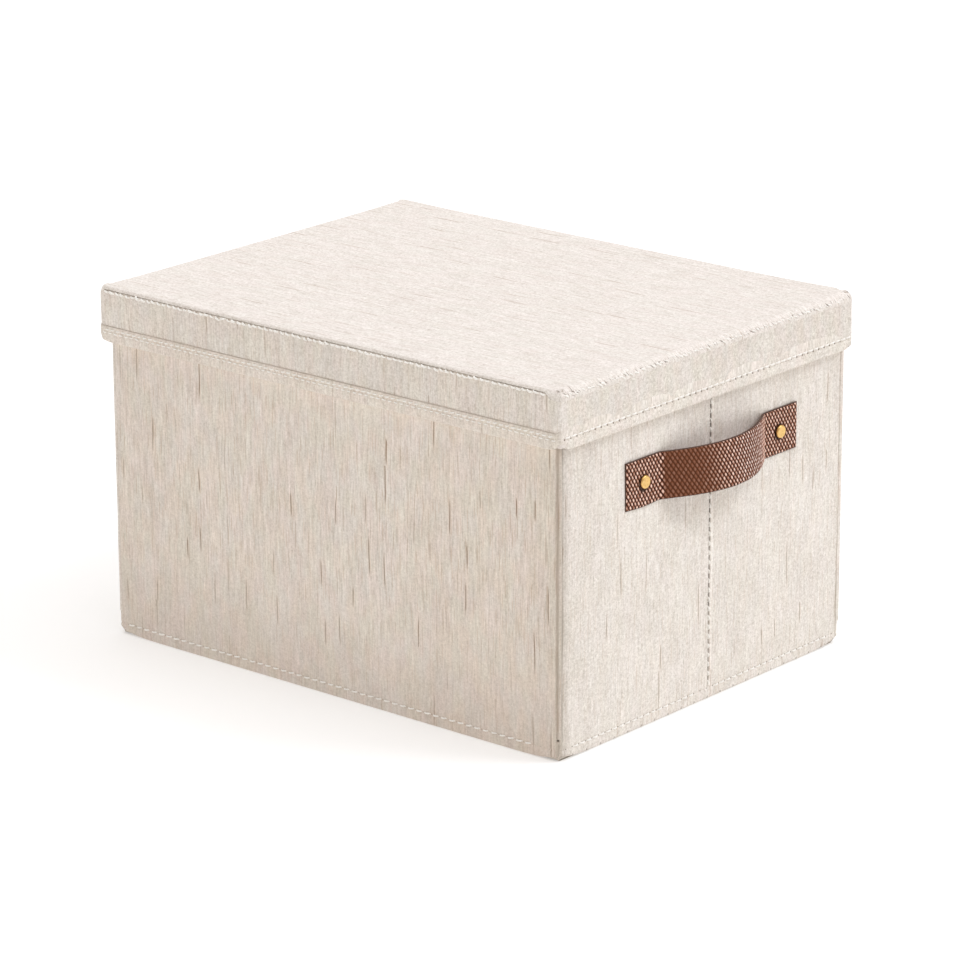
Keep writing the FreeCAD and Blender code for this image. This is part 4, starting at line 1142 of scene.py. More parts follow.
uv[-1, : zz.shape[1], 1] = zz[0]
skirt = tube("lid_skirt_linen", rows, uv, M_SKIRT, ring=True)
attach(nudge(skirt), "lid")
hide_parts("lid_skirt_fabric")

# --- hem band: on the long sides a step with a dark crease above it, on the ends flush
prof_long = np.array([(-0.62, 215.1), (-0.30, 214.85), (0.20, 214.72), (0.52, 214.3), (0.62, 213.5), (0.62, 212.6), (0.50, 212.0), (0.40, 211.5), (0.50, 211.0), (0.62, 210.3),
                      (0.66, 209.0), (0.66, 207.4), (0.66, 206.0), (0.60, 205.0), (0.36, 204.35), (-0.1, 204.05), (-0.8, 204.0), (-1.8, 204.0), (-2.6, 204.02), (-3.1, 204.3), (-3.3, 205.0),
                      (-3.32, 207.0), (-3.32, 210.5), (-3.18, 211.5), (-3.32, 212.5), (-3.3, 214.2), (-3.1, 214.6), (-2.7, 214.6), (-2.6, 210.0), (-2.6, 206.2), (-0.9, 206.0), (-0.9, 214.6)])
prof_end = prof_long.copy()
prof_end[:14, 0] = [-0.30, -0.05, 0.07, 0.12, 0.17, 0.20, 0.13, 0.02, 0.16, 0.34, 0.46, 0.56, 0.62, 0.60]
prof_end[:4, 1] = [219.5, 218.5, 217.0, 215.2]
prof_end[-1] = (-0.9, 217.5)
prof = prof_end[None] + (prof_long - prof_end)[None] * KL[:, None, None]
live = np.zeros(len(prof_long))
live[1:15] = 1.0
sb, zb = np.broadcast_to(PER_S[:, None], prof.shape[:2]), prof[..., 1]
poff = prof[..., 0] + live[None] * (0.05 * ring_noise(8, 16, 20, 90)(sb, zb) + 0.045 * np.cos(2 * math.pi * sb / BAND_PITCH) * bell(zb, BAND_ROW_Z, 2.2))
# at the corners the hem is drawn in towards the body
to_corner = np.hypot(np.abs(PER[:, 0]) - (LHX - 0.3 * RL), np.abs(PER[:, 1]) - (LHY - 0.3 * RL))
drawn = (np.exp(-(to_corner / 4.6) ** 2) * np.where(PER[:, 0] < 0, 0.4, np.where(PER[:, 1] > 0, 0.7, 1.0)))[:, None]
outer_face = (np.arange(len(prof_long)) < 16)[None]
poff = poff - 2.5 * drawn * step(zb, 210.6, 204.3) * outer_face
zb = zb + 1.9 * drawn * (zb < 204.5) + 1.0 * drawn * ((zb >= 204.5) & (zb < 205.3) & outer_face)
rows = around(PER, poff, zb)
vb = prof_long[:, 1].copy()
vb[15:] = 204.0 - np.cumsum(np.hypot(*np.diff(prof_long, axis=0).T))[14:]
vb = np.append(vb, vb[-1] - 1)
uv = np.stack(np.meshgrid(np.append(PER_S, PER_L), vb, indexing="ij"), -1)
band = tube("lid_hem_linen", rows, uv, M_BAND, ring=True)
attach(nudge(band), "lid")
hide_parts("lid_hem_band")

# --- top: rounded over the ends, turned under at a seam on the long sides
TOPP, TOPS, TOPL = perimeter(LHX, LHY, RL, 2.6, arc=8)
kt = edge_kind(TOPP, TOPS, TOPL, -1.5, 1.5, -11.5, -5.0)[:, None]
R = 5.0 + (1.25 - 5.0) * kt
th = np.radians(np.array([0, 12, 24, 36, 48, 60, 72, 82, 90.0]))[None]
inset = np.concatenate([np.broadcast_to([[6.6, 5.6]], (len(TOPP), 2)), R * (1 - np.sin(th))], 1)
topz = np.concatenate([np.full((len(TOPP), 2), Z1), Z1 - R * (1 - np.cos(th))], 1)
zs_t = Z_SEAM_END + (Z_SEAM_LONG - Z_SEAM_END) * kt
low_in = np.concatenate([0 * kt, -0.03 + 0.58 * kt, 0.62 + 0.5 * kt], 1)
low_z = np.concatenate([zs_t + 0.30 + 0.1 * (1 - kt), zs_t + 0.02 - 0.25 * (1 - kt), zs_t + 0.2], 1)
inset, topz = np.concatenate([inset, low_in], 1), np.concatenate([topz, low_z], 1)
soft_top = waves(12, 26, 30, 140)
P = around(TOPP, -inset, topz)
# inner field: a grid whose border is the innermost ring
ax, ay = LHX - RL, LHY - RL
nx = int(round(2 * ax / 2.6))
ny = int(round(2 * ay / 2.6))
inner_d = 6.6 - RL
gx = np.linspace(-(ax - inner_d), ax - inner_d, nx + 1)
gy = np.linspace(-(ay - inner_d), ay - inner_d, ny + 1)


def lid_top_relief(x, y):
    edge = np.minimum(LHX - np.abs(x), LHY - np.abs(y))
    free = step(edge, 2.0, 26.0)
    sag = -0.12 * (1 - (x / LHX) ** 2) * (1 - (y / LHY) ** 2)
    # the folded cloth makes the four corners stand a little proud
    proud = 0.55 * np.exp(-(np.hypot(LHX - np.abs(x), LHY - np.abs(y)) / 30.0) ** 2)
    proud = proud + 0.55 * np.exp(-(np.hypot(LHX - x, LHY - y) / 40.0) ** 2)
    return free * (0.09 * soft_top(x, y) + sag) + 0.46 + proud


# the rings must have one point for each of the grid's steps along its sides and eight round each corner, so that the
# two can meet point for point
def snap(points):
    q = points.copy()
    n = len(TOPP)
    arc = 8
    i = 0
    for cx, cy, dirx, diry, count in ((-1, -1, 1, 0, nx), (1, -1, 0, 1, ny), (1, 1, -1, 0, nx), (-1, 1, 0, -1, ny)):
        i += count + arc
    assert i == n, (i, n)
    return q


P = snap(P)
ringn, m = P.shape[:2]
# innermost ring onto the grid border: straight runs by index, arcs to the corner
corner_xy = [(gx[-1], gy[0]), (gx[-1], gy[-1]), (gx[0], gy[-1]), (gx[0], gy[0])]
border = np.zeros((ringn, 2))
i = 0
for side, count in enumerate((nx, ny, nx, ny)):
    f = np.arange(count)
    if side == 0:
        run = np.stack([gx[f], np.full(count, gy[0])], -1)
    elif side == 1:
        run = np.stack([np.full(count, gx[-1]), gy[f]], -1)
    elif side == 2:
        run = np.stack([gx[nx - f], np.full(count, gy[-1])], -1)
    else:
        run = np.stack([np.full(count, gx[0]), gy[ny - f]], -1)
    border[i:i + count] = run
    i += count
    border[i:i + 8] = corner_xy[side]
    i += 8
P[:, 0, 0], P[:, 0, 1] = border[:, 0], border[:, 1]
P[..., 2] += lid_top_relief(P[..., 0], P[..., 1]) * np.concatenate([np.ones(4), np.linspace(1, 0, m - 3)[1:]])[None]
# quads of the rim
a = np.arange(ringn)[:, None]
b = np.arange(m - 1)[None, :]
a2 = (a + 1) % ringn
q1 = np.stack([a * m + b, a2 * m + b, a2 * m + b + 1, a * m + b + 1], -1).reshape(-1, 4)
# u across the slubs, v along them: slubs run along the lid's length and down over the ends
down = np.concatenate([np.zeros((ringn, 1)), np.cumsum(np.hypot(np.diff(inset, axis=1), np.diff(topz, axis=1)), 1)], 1)
nx_, ny_ = TOPP[:, 2][:, None], TOPP[:, 3][:, None]
flat_x = P[..., 0] + 0.0
flat_y = P[..., 1] + 0.0
drop = np.clip(down - 5.0, 0, None)
uu = flat_y + ny_ * drop
vv2 = flat_x + nx_ * drop
uvp = np.stack([uu, vv2], -1).reshape(-1, 2)
gxx, gyy = np.meshgrid(gx, gy, indexing="ij")
G = np.stack([gxx, gyy, Z1 + lid_top_relief(gxx, gyy)], -1)
base = ringn * m
ga, gb = np.arange(nx)[:, None], np.arange(ny)[None, :]
gi = (ga * (ny + 1) + gb).reshape(-1) + base
q2 = np.stack([gi, gi + ny + 1, gi + ny + 2, gi + 1], -1)
uvg = np.stack([gyy, gxx], -1).reshape(-1, 2)
allv = np.concatenate([P.reshape(-1, 3), G.reshape(-1, 3)])
alluv = np.concatenate([uvp, uvg])
cap = [[int(x) for x in (np.arange(ringn) * m + m - 1)]]
# orient: rim quads and grid quads must agree
e1 = np.cross(allv[q1[0, 1]] - allv[q1[0, 0]], allv[q1[0, 3]] - allv[q1[0, 0]])
quads = np.concatenate([q1[:, ::-1], q2])
lid_top = make("lid_top_linen", allv, quads, alluv[quads], M_TOP, cap, [alluv[cap[0]]], merge=0.0008, sharp=45)
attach(nudge(lid_top), "lid")
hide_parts("lid_top_fabric")


# --- the board under it, with its edge eased where the cloth goes over the ends
BP, BS, BL = perimeter(LHX, LHY, RL, 4.0, arc=8)
kb = edge_kind(BP, BS, BL, -1.5, 1.5, -11.5, -5.0)
b_in = np.array([[1.35, 1.40, 2.1, 2.8, 3.8, 5.4, 6.4], [1.75, 1.70, 1.75, 1.80, 1.90, 2.4, 3.2]])
b_z = np.array([[238.2, 238.7, 239.3, 239.75, 240.1, 240.33, 240.38], [238.2, 238.5, 238.9, 239.4, 239.9, 240.25, 240.38]])
rows = []
for j in range(7):
    ins = b_in[0, j] + (b_in[1, j] - b_in[0, j]) * kb
    zed = b_z[0, j] + (b_z[1, j] - b_z[0, j]) * kb
    x = BP[:, 0] - BP[:, 2] * ins
    y = BP[:, 1] - BP[:, 3] * ins
    # past the corner's own radius the outline is a plain corner
    x = np.sign(x) * np.minimum(np.abs(x), LHX - ins)
    y = np.sign(y) * np.minimum(np.abs(y), LHY - ins)
    inside_corner = ins > RL
    cx, cy = np.sign(BP[:, 0]) * (LHX - RL), np.sign(BP[:, 1]) * (LHY - RL)
    on_arc = (np.abs(BP[:, 2]) > 1e-6) & (np.abs(BP[:, 3]) > 1e-6)
    x = np.where(inside_corner & on_arc, np.sign(BP[:, 0]) * (LHX - ins), x)
    y = np.where(inside_corner & on_arc, np.sign(BP[:, 1]) * (LHY - ins), y)
    x = np.where(inside_corner & ~on_arc & (np.abs(BP[:, 2]) < 1e-6), np.clip(x, -(LHX - ins), LHX - ins), x)
    y = np.where(inside_corner & ~on_arc & (np.abs(BP[:, 3]) < 1e-6), np.clip(y, -(LHY - ins), LHY - ins), y)
    rows.append(np.stack([x, y, zed], -1))
rows = np.array(rows)
uv = np.stack(np.meshgrid(np.arange(7) * 1.5, np.append(BS, BL), indexing="ij"), -1)
lid_board = tube("lid_top_stiffener", rows, uv, M_BOARD, sharp=60)
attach(nudge(lid_board), "lid")
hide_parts("lid_top_board")


# --- stitches round the lid
def lid_row(name, s0, s1, pitch, z, off, body="lid", phase=0.0, **kw):
    k0, k1 = math.ceil((s0 - phase) / pitch), math.floor((s1 - phase) / pitch)
    s = np.arange(k0, k1 + 1) * pitch + phase
    x = np.interp(s, np.append(PER_S, PER_L), np.append(PER[:, 0], PER[0, 0]))
    y = np.interp(s, np.append(PER_S, PER_L), np.append(PER[:, 1], PER[0, 1]))
    nx_ = np.interp(s, np.append(PER_S, PER_L), np.append(PER[:, 2], PER[0, 2]))
    ny_ = np.interp(s, np.append(PER_S, PER_L), np.append(PER[:, 3], PER[0, 3]))
    ln = np.hypot(nx_, ny_)
    nx_, ny_ = nx_ / ln, ny_ / ln
    at = np.stack([x + nx_ * off, y + ny_ * off, np.full_like(x, z)], -1)
    out = np.stack([nx_, ny_, 0 * nx_], -1)
    along = np.stack([-ny_, nx_, 0 * nx_], -1)
    if kw.pop("tilt", None):
        out = out + np.array([0, 0, 0.9])
    ob = stitches(name, at, along, out, M_THREAD, **kw)
    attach(nudge(ob), body)
    return ob


for side, (s0, s1), long in (("front", S_FRONT, 1), ("right", S_RIGHT, 0), ("rear", S_REAR, 1), ("left", S_LEFT, 0)):
    if long:
        lid_row("lid_hem_stitches_" + side, s0 + 1.5, s1 - 1.5, 4.9, 212.85, 0.60, length=3.0, r=0.50, rise=0.28, slant=6, seed=60)
        lid_row("lid_hem_stitches_low_" + side, s0 + 1.5, s1 - 1.5, 4.9, 210.60, 0.50, phase=2.3, length=2.8, r=0.44, rise=0.24, slant=-4, seed=62)
        lid_row("lid_edge_stitches_" + side, s0 + (2 if side == "front" else 12), s1 - (12 if side == "front" else 2), TOP_PITCH_LONG, 238.3, 0.10, length=3.3, r=0.68, rise=0.46, slant=-14, seed=70, loose=0.45)
    else:
        lid_row("lid_hem_stitches_" + side, s0 + 1.5, s1 - 1.5, BAND_PITCH, BAND_ROW_Z + 0.75, 0.16, length=4.2, r=0.58, rise=0.28, slant=4, seed=61)
        lid_row("lid_edge_stitches_" + side, s0 + 2, s1 - 2, TOP_PITCH_END * 0.8, 238.4, -0.70, length=3.2, r=0.46, rise=0.26, slant=-24, seed=71, tilt=True, loose=1.0)

# --- the lid's inside
PIN, PIN_S, PIN_L = perimeter(LHX - 2.6, LHY - 2.6, 2.9, 4.0, arc=6)
zl = np.concatenate([[206.0], np.linspace(213.9, 236.8, 9), [237.4, 237.6, 237.75]])
offs = np.concatenate([np.full(10, -0.38), [-0.55, -0.95, -1.6]])
soft_ring = np.sin(PIN_S / 17.0)[:, None] * 0.04 * np.sin((zl - 206) / 32 * math.pi)[None]
front_face = around(PIN, offs[None] + soft_ring, np.broadcast_to(zl, (len(PIN), len(zl))))
back_z = np.array([238.0, 237.9, 230.0, 206.0])
back_off = np.array([-1.6, -0.05, -0.02, -0.02])
back_face = around(PIN, np.broadcast_to(back_off, (len(PIN), 4)), np.broadcast_to(back_z, (len(PIN), 4)))
rows = np.concatenate([front_face, back_face], 1)
vv3 = np.concatenate([zl, [239.5, 241.0, 249.0, 273.0, 275.0]])
uv = np.stack(np.meshgrid(np.append(PIN_S, PIN_L), vv3, indexing="ij"), -1)
sk = tube("lid_skirt_lining_cloth", rows, uv, M_LINING, ring=True)
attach(sk, "lid")
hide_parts("lid_skirt_lining")
gx2, gy2 = np.linspace(-191.0, 191.0, 100), np.linspace(-145.8, 145.8, 78)
tx, ty = np.meshgrid(gx2, gy2, indexing="ij")
edge = np.minimum(191.0 - np.abs(tx), 145.8 - np.abs(ty))
under = 237.42 + 0.20 * (0.5 + 0.5 * waves(15, 20, 30, 100)(tx, ty)).clip(0, 1) + 0.25 * (1 - step(edge, 0, 2.5))
tl = slab("lid_top_lining_cloth", np.stack([tx, ty, np.full_like(tx, 237.84)], -1), np.stack([tx, ty, under], -1), np.stack([ty + 900, tx], -1), M_LINING)
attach(tl, "lid")
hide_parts("lid_top_lining")


# ---------------------------------------------------------------------------
# Straps
# ---------------------------------------------------------------------------
ST_Z0, ST_Z1, ST_T, ST_HALF = 149.6, 180.0, 2.2, 89.0


def loop_height(y, bulge, k, bend):
    foot = ST_T
    reach = math.sqrt((bulge - foot - 0.2) / k)
    inner = reach + 9.0

    def h(a):
        d = bulge - k * a * a - foot
        return foot + 0.5 * (d + np.sqrt(d * d + bend))

    a = np.minimum(np.abs(y), inner)
    return ST_T + (h(a) - h(inner)) * (bulge - ST_T) / (h(0.0) - h(inner))


def strap(side):
    sx = 1.0 if side == "right" else -1.0
    bend = 0.45

    def surface(y, tau):
        lo = loop_height(y, 22.3, 0.0068, bend)
        hi = loop_height(y, 18.9, 0.0058, bend)
        lift = 0.3 * np.clip((y + 20.0) / 40.0, 0, 1)
        return XO + lo + (hi - lo) * tau + lift

    # even steps along the strap
    yd = np.linspace(-ST_HALF + 1.6, ST_HALF, 4001)
    xd = surface(yd, 0.5)
    sd = np.concatenate([[0], np.cumsum(np.hypot(np.diff(yd), np.diff(xd)))])
    count = 520
    s = np.linspace(0, sd[-1], count)
    y = np.interp(s, sd, yd)
    width = ST_Z1 - ST_Z0
    # cross-section loop: outer face, rounded edge, inner face, rounded edge
    rr = 0.55
    zo = np.linspace(ST_Z0 + rr, ST_Z1 - rr, 80)
    zi = np.linspace(ST_Z1 - rr, ST_Z0 + rr, 26)
    eps = 0.05
    ty = y[:, None]

    def frame_at(tau):
        x = surface(ty, tau)
        dx = (surface(ty + eps, tau) - surface(ty - eps, tau)) / (2 * eps)
        ln = np.sqrt(1 + dx * dx)
        return x, 1 / ln, -dx / ln          # position and outward normal (x, y)

    def face(zrow, depth):
        tau = ((zrow - ST_Z0) / width)[None, :]
        x, nx_, ny_ = frame_at(tau)
        return np.stack([x - nx_ * depth, ty - ny_ * depth, np.broadcast_to(zrow[None], x.shape)], -1)

    end = np.minimum(s, s[-1] - s)
    fade = step(end, 0.2, 1.4)[:, None]
    ss, zz_ = np.meshgrid(s, zo, indexing="ij")
    side_fade = step(np.minimum(zo - ST_Z0, ST_Z1 - zo), 0.3, 1.5)[None, :]
    relief = emboss(ss, zz_) * (0.35 + 0.65 * fade * side_fade)
    edge_round = 0.22 * (1 - side_fade) + 0.30 * (1 - fade)
    ring = sum(step(np.hypot(ss - v, zz_ - RIVET_Z), 6.4, 4.6) for v in RIVET_AT)
    outer = face(zo, 0.48 - 0.56 * relief * (1 - 0.8 * ring) + edge_round)
    si, zi_ = np.meshgrid(s, zi, indexing="ij")
    inner = face(zi, ST_T - 0.12 * emboss(si + 1.1, zi_ + 0.7))
    top = face(np.full(1, ST_Z1 - 0.12), 0.75), face(np.full(1, ST_Z1), 1.2), face(np.full(1, ST_Z1 - 0.12), 1.75)
    bot = face(np.full(1, ST_Z0 + 0.12), 1.75), face(np.full(1, ST_Z0), 1.2), face(np.full(1, ST_Z0 + 0.12), 0.75)
    rows = np.concatenate([outer, *top, inner, *bot], 1)
    # the lower edge hangs a little, most at the near end
    hang = 0.8 + 1.2 * np.exp(-((ty + 70.0) / 15.0) ** 2)
    rows[..., 2] -= hang * (ST_Z1 - rows[..., 2]) / width
    rows[..., 0] *= sx
    rows[..., 1] += STRAP_Y
    zcol = np.concatenate([zo, [ST_Z1 + 0.3, ST_Z1 + 0.9, ST_Z1 + 1.5], ST_Z1 + 2 + (ST_Z1 - zi), ST_Z1 + 33 + np.arange(4) * 0.6])
    uv = np.stack(np.meshgrid(s, zcol, indexing="ij"), -1)
    ob = tube(side + "_strap", rows, uv, M_STRAP, sharp=70)
    # the cut edges and the two ends are the raw edge colour
    ob.data.materials.append(M_STRAP_EDGE)
    n, m_ = rows.shape[:2]
    n_out, n_in = len(zo), len(zi)
    col = np.tile(np.arange(m_), n - 1)
    raw = ((col >= n_out - 1) & (col <= n_out + 2)) | (col >= n_out + 3 + n_in - 1)
    idx = np.zeros(len(ob.data.polygons), int)
    idx[: len(raw)] = raw.astype(int)
    idx[len(raw):] = 1
    ob.data.polygons.foreach_set("material_index", idx.astype(np.int32))
    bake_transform(ob)
    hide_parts(side + "_handle_strap")


strap("right")
strap("left")


# ---------------------------------------------------------------------------
# Rivets and washers
# ---------------------------------------------------------------------------
def rivet(name, sx, y, face):
    prof = [(face + 1.34, 0.0), (face + 1.36, 0.9), (face + 1.42, 1.8), (face + 1.54, 2.7), (face + 1.66, 3.3), (face + 1.66, 3.65), (face + 1.5, 3.95), (face + 1.2, 4.2),
            (face + 0.8, 4.36), (face + 0.35, 4.4), (face + 0.08, 4.25), (face + 0.02, 3.6), (face + 0.02, 1.9), (face - 0.3, 1.8), (XI - 0.78, 1.8), (XI - 0.80, 2.2), (XI - 0.86, 2.55),
            (XI - 1.05, 2.62), (XI - 1.22, 2.4), (XI - 1.28, 2.0), (XI - 1.2, 1.6), (XI - 0.9, 1.2), (XI - 0.5, 1.05), (XI - 0.1, 1.0), (XI + 0.1, 0.0)]
    p = [(a * sx, r) for a, r in prof]
    return lathe(name, p, (0, y, RIVET_Z), (1, 0, 0), M_BRASS, turns=72)


def washer(name, sx, y):
    prof = [(XI - 0.02, 1.9), (XI - 0.02, 4.3), (XI - 0.16, 4.55), (XI - 0.42, 4.6), (XI - 0.66, 4.5), (XI - 0.80, 4.2), (XI - 0.80, 3.4), (XI - 0.74, 2.6), (XI - 0.70, 2.1), (XI - 0.55, 1.86), (XI - 0.2, 1.86)]
    p = [(a * sx, r) for a, r in prof]
    return lathe(name, p, (0, y, RIVET_Z), (1, 0, 0), M_STEEL, turns=64)


for side, sx in (("right", 1.0), ("left", -1.0)):
    for end, sy, face in (("front", -1.0, XO + ST_T + 0.05), ("rear", 1.0, XO + ST_T + 0.6)):
        body = "%s_%s_leaf" % (side, end)
        r = rivet("%s_%s_rivet_brass" % (side, end), sx, STRAP_Y + sy * RIVET_Y, face)
        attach(r, body)
        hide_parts("%s_%s_rivet" % (side, end))
        w = washer("%s_%s_washer" % (side, end), sx, STRAP_Y + sy * RIVET_Y)
        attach(w, body)
        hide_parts("%s_%s_rivet_washer" % (side, end))


# ---------------------------------------------------------------------------
# Base: underside linen, boards wrapped in lining, soft fold, gussets, loop
# ---------------------------------------------------------------------------
XH = XI - 11.0                          # half length of a base leaf at its hinge
HALF = AYC                              # from the wall's inner face to the fold


def base_half(sign):
    end = "front" if sign < 0 else "rear"
    body = "base_%s_leaf" % end
    # s: distance from the wall's inner face towards the fold
    s = np.concatenate([[0.0, 0.5, 1.2, 2.2], spaced(4.0, 140.4, 3.2, 0.6, 0.0, 1.8)])
    tau = np.concatenate([np.linspace(-1, -0.975, 6)[:-1], np.linspace(-0.975, 0.975, 100), np.linspace(0.975, 1, 6)[1:]])
    sg, tg = np.meshgrid(s, tau, indexing="ij")
    half_len = XH - 0.3 - sg
    x = tg * half_len
    y = sign * (HALF - sg)
    # underside linen
    bump = 0.10 * (0.5 + 0.5 * waves(31 if sign < 0 else 32, 20, 25, 80)(x, y)).clip(0, 1)
    edge = np.minimum(half_len - np.abs(x), 60)
    z_low = bump + 0.12 * (1 - step(edge, 0, 1.0))
    top = np.stack([x, y, np.full_like(x, 0.41)], -1)
    bot = np.stack([x, y, z_low], -1)
    uv = np.stack([x + (3000 if sign < 0 else 4000), y], -1)
    under = slab("base_%s_linen" % end, top, bot, uv, M_BASE)
    # wrapped board
    inside = np.minimum(np.minimum(sg - 12.6, (half_len - np.abs(x)) * 0.72 - 0.1), 9.0)
    lift = step(inside, 0.0, 1.5)
    crown = 0.10 * (0.5 + 0.5 * waves(33 if sign < 0 else 34, 20, 30, 110)(x, y)).clip(0, 1)
    z_top = 0.82 + 1.42 * lift + crown * lift - 0.16 * bell(inside, -0.6, 0.6)
    z_top = z_top + 0.25 * bell(sg, 0.0, 1.2)
    top = np.stack([x, y, z_top], -1)
    bot = np.stack([x, y, np.full_like(x, 0.43)], -1)
    uv = np.stack([x + (5000 if sign < 0 else 6000), y], -1)
    wrap = slab("base_%s_lining_cloth" % end, top, bot, uv, M_LINING)
    if sign < 0:
        for ob in (under, wrap):
            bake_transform(ob)
    else:
        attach(under, body)
        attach(wrap, body)
    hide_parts("base_%s_fabric" % end)
    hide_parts("base_%s_lining" % end)


base_half(-1.0)
base_half(1.0)

# soft fold between the two halves
w2 = HALF - 140.4
ys = np.linspace(-w2, w2, 17)
xs = spaced(-(XH - 0.3 - 140.4), XH - 0.3 - 140.4, 2.4)
xg, yg = np.meshgrid(xs, ys, indexing="ij")
valley = np.exp(-(yg / 0.9) ** 2)
top = np.stack([xg, yg, 2.27 - 0.9 * valley], -1)
bot = np.stack([xg, yg, np.full_like(xg, 0.43)], -1)
fold = slab("base_fold_lining", top, bot, np.stack([xg + 7000, yg], -1), M_LINING)
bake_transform(fold)
top = np.stack([xg, yg, np.full_like(xg, 0.41)], -1)
bot = np.stack([xg, yg, 0.02 + 0.22 * np.exp(-(yg / 0.7) ** 2)], -1)
fold = slab("base_fold_linen", top, bot, np.stack([xg + 8000, yg], -1), M_BASE)
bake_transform(fold)


def gusset(side):
    sx = 1.0 if side == "right" else -1.0
    # from the end wall (e = 0) to the slanted edges of the base leaves (e = 1)
    yv = np.concatenate([np.linspace(-142.7, -2.0, 60), np.linspace(-1.2, 1.2, 5), np.linspace(2.0, 142.7, 60)])
    ev = np.linspace(0, 1, 40)
    yg, eg = np.meshgrid(yv, ev, indexing="ij")
    x_wall = XI + 0.6
    x_slant = (XH - 0.2) - (HALF - np.abs(yg)) + 0.2
    x = x_wall + (x_slant - x_wall) * eg
    ruck = 0.5 + 0.5 * waves(41, 16, 18, 60)(x, yg)
    fade = step(np.minimum(eg, 1 - eg) * (x_wall - x_slant), 0, 6)
    z = 0.20 + 0.12 * ruck.clip(0, 1) * fade
    top = np.stack([sx * x, yg, z], -1)
    bot = np.stack([sx * x, yg, 0.02 + 0.03 * ruck.clip(0, 1) * fade], -1)
    uv = np.stack([yg + 9000, x], -1)
    ob = slab(side + "_gusset_cloth", top, bot, uv, M_LINING)
    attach(ob, "front_wall")
    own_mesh(ob)
    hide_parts(side + "_base_gusset")


gusset("right")
gusset("left")

# pull loop: flat webbing doubled over, sewn down beside the fold
ly = np.concatenate([np.linspace(0, 38.0, 40)])
path = []
z_lo, th = 2.42, 0.75
for a in np.linspace(0, 1, 30):
    path.append((-8.0 - 38.0 * a, z_lo + 0.5 * th + 0.25 * math.sin(math.pi * a)))
for a in np.linspace(0.1, 0.9, 7):
    an = math.radians(-90 - 180 * a)
    path.append((-46.0 + 0.62 * math.cos(an) * 1.6, z_lo + 0.5 * th + 0.62 + 0.62 * math.sin(an)))
for a in np.linspace(1, 0, 30):
    path.append((-8.0 - 38.0 * a, z_lo + 1.5 * th + 0.5 + 0.45 * math.sin(math.pi * a)))
path = np.array(path)
tan = np.gradient(path, axis=0)
tan /= np.hypot(*tan.T)[:, None]
nor = np.stack([-tan[:, 1], tan[:, 0]], -1)
xs = np.linspace(-12.5, 12.5, 34)
rib = 0.05 * np.cos(2 * math.pi * xs / 1.5)
sel = 0.06 * (np.abs(xs) > 11.2)
loop_rows = []
for side_sign, xr in ((1.0, xs), (-1.0, xs[::-1])):
    rb = rib if side_sign > 0 else rib[::-1]
    sl = sel if side_sign > 0 else sel[::-1]
    off2 = side_sign * (th / 2 + rb - sl)
    loop_rows.append(np.stack([np.broadcast_to(xr, (len(path), len(xr))), path[:, :1] + nor[:, :1] * off2[None], path[:, 1:] + nor[:, 1:] * off2[None]], -1))
rows = np.concatenate(loop_rows, 1)
run = np.concatenate([[0], np.cumsum(np.hypot(*np.diff(path, axis=0).T))])
uv = np.stack(np.meshgrid(run, np.concatenate([xs, 26 - xs[::-1] * -1, [40.0]]), indexing="ij"), -1)[..., ::-1]
web = tube("pull_loop_webbing", rows, uv, M_WEB)
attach(web, "base_front_leaf")
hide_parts("base_pull_loop")
bx = np.concatenate([np.arange(-9, 9.1, 3.6), np.full(4, 9.4), np.arange(9, -9.1, -3.6), np.full(4, -9.4)])
by = np.concatenate([np.full(6, -10.0), -12 - np.arange(4) * 3.4, np.full(6, -24.4), -12 - np.arange(4)[::-1] * 3.4])
dirs = np.concatenate([np.tile([1.0, 0, 0], (6, 1)), np.tile([0, 1.0, 0], (4, 1)), np.tile([1.0, 0, 0], (6, 1)), np.tile([0, 1.0, 0], (4, 1))])
at = np.stack([bx, by, np.full(len(bx), z_lo + 2 * th + 0.62)], -1)
st = stitches("pull_loop_stitches", at, dirs, np.tile([0, 0, 1.0], (len(bx), 1)), M_THREAD, length=2.9, r=0.3, rise=0.12, slant=3, seed=5)
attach(st, "base_front_leaf")

# boards stay as constructed
for name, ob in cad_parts.items():
    if name.endswith("_board"):
        ob.data.materials.clear()
        ob.data.materials.append(M_BOARD)

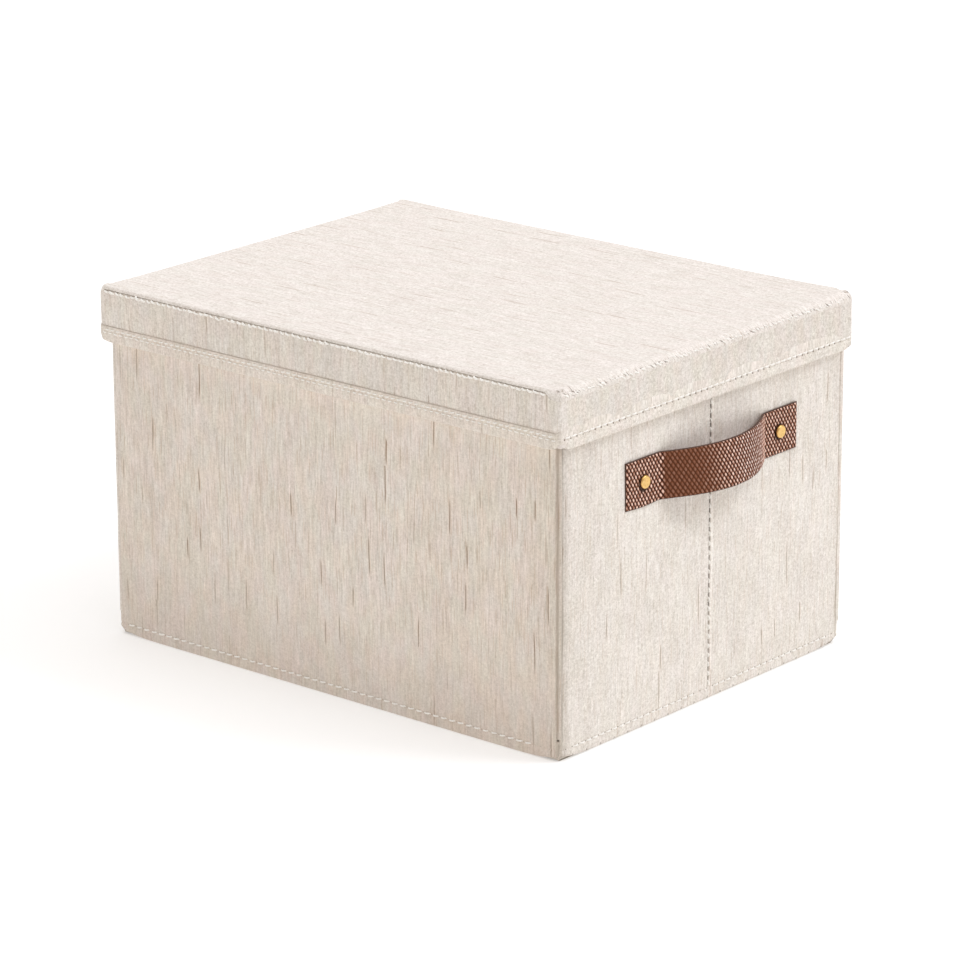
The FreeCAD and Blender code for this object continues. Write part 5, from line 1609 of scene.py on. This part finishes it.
# ---------------------------------------------------------------------------
# Floor, light, camera
# ---------------------------------------------------------------------------
me = bpy.data.meshes.new("studio_floor")
F = 40.0
me.from_pydata([(-F, -F, -0.00002), (F, -F, -0.00002), (F, F, -0.00002), (-F, F, -0.00002)], [], [(0, 1, 2, 3)])
floor = bpy.data.objects.new("studio_floor", me)
scene.collection.objects.link(floor)
t = Nodes("studio_floor")
n = t.node("ShaderNodeTexNoise", {"Scale": 3.0, "Detail": 3.0}).outputs[0]
floor_mat = t.done(t.mix(n, rgb(0.715, 0.708, 0.694), rgb(0.722, 0.715, 0.701)), 0.9, Specular_IOR_Level=0.1, Emission_Color=(1.0, 1.0, 1.0, 1.0), Emission_Strength=0.32)
me.materials.append(floor_mat)

world = bpy.data.worlds.new("studio")
scene.world = world
world.use_nodes = True
bg = world.node_tree.nodes["Background"]
bg.inputs[0].default_value = (1.062, 1.0, 0.940, 1.0)
bg.inputs[1].default_value = 0.575


for lamp, energy, angle, towards in (("key", 1.34, 60, (-0.08, -0.02, -0.997)), ("side", 0.86, 22, (-0.55, -0.42, -0.72))):
    light = bpy.data.lights.new(lamp, "SUN")
    light.energy, light.angle, light.color = energy, math.radians(angle), (0.95, 1.0, 1.09)
    light_ob = bpy.data.objects.new(lamp, light)
    scene.collection.objects.link(light_ob)
    light_ob.rotation_mode = "QUATERNION"
    light_ob.rotation_quaternion = Vector(towards).to_track_quat("-Z", "Y")

scene.view_settings.view_transform = "Standard"
scene.view_settings.look = "None"
scene.view_settings.exposure = 0.0
scene.view_settings.gamma = 1.0

cam_data = bpy.data.cameras.new("camera")
cam_data.lens, cam_data.sensor_width, cam_data.sensor_height = 171.27, 36.0, 36.0
cam_data.clip_start, cam_data.clip_end = 0.05, 200.0
cam = bpy.data.objects.new("camera", cam_data)
scene.collection.objects.link(cam)
az, pitch, roll = math.radians(40.369), math.radians(17.599), math.radians(-0.223)
fwd = Vector((-math.sin(az) * math.cos(pitch), math.cos(az) * math.cos(pitch), -math.sin(pitch)))
right0 = Vector((math.cos(az), math.sin(az), 0.0))
up0 = right0.cross(fwd)
right = right0 * math.cos(roll) + up0 * math.sin(roll)
up = up0 * math.cos(roll) - right0 * math.sin(roll)
rot = Matrix((right, up, -fwd)).transposed()
cam.matrix_world = Matrix.Translation((1.87034, -2.19640, 1.02532)) @ rot.to_4x4()
scene.camera = cam

bpy.context.view_layer.update()
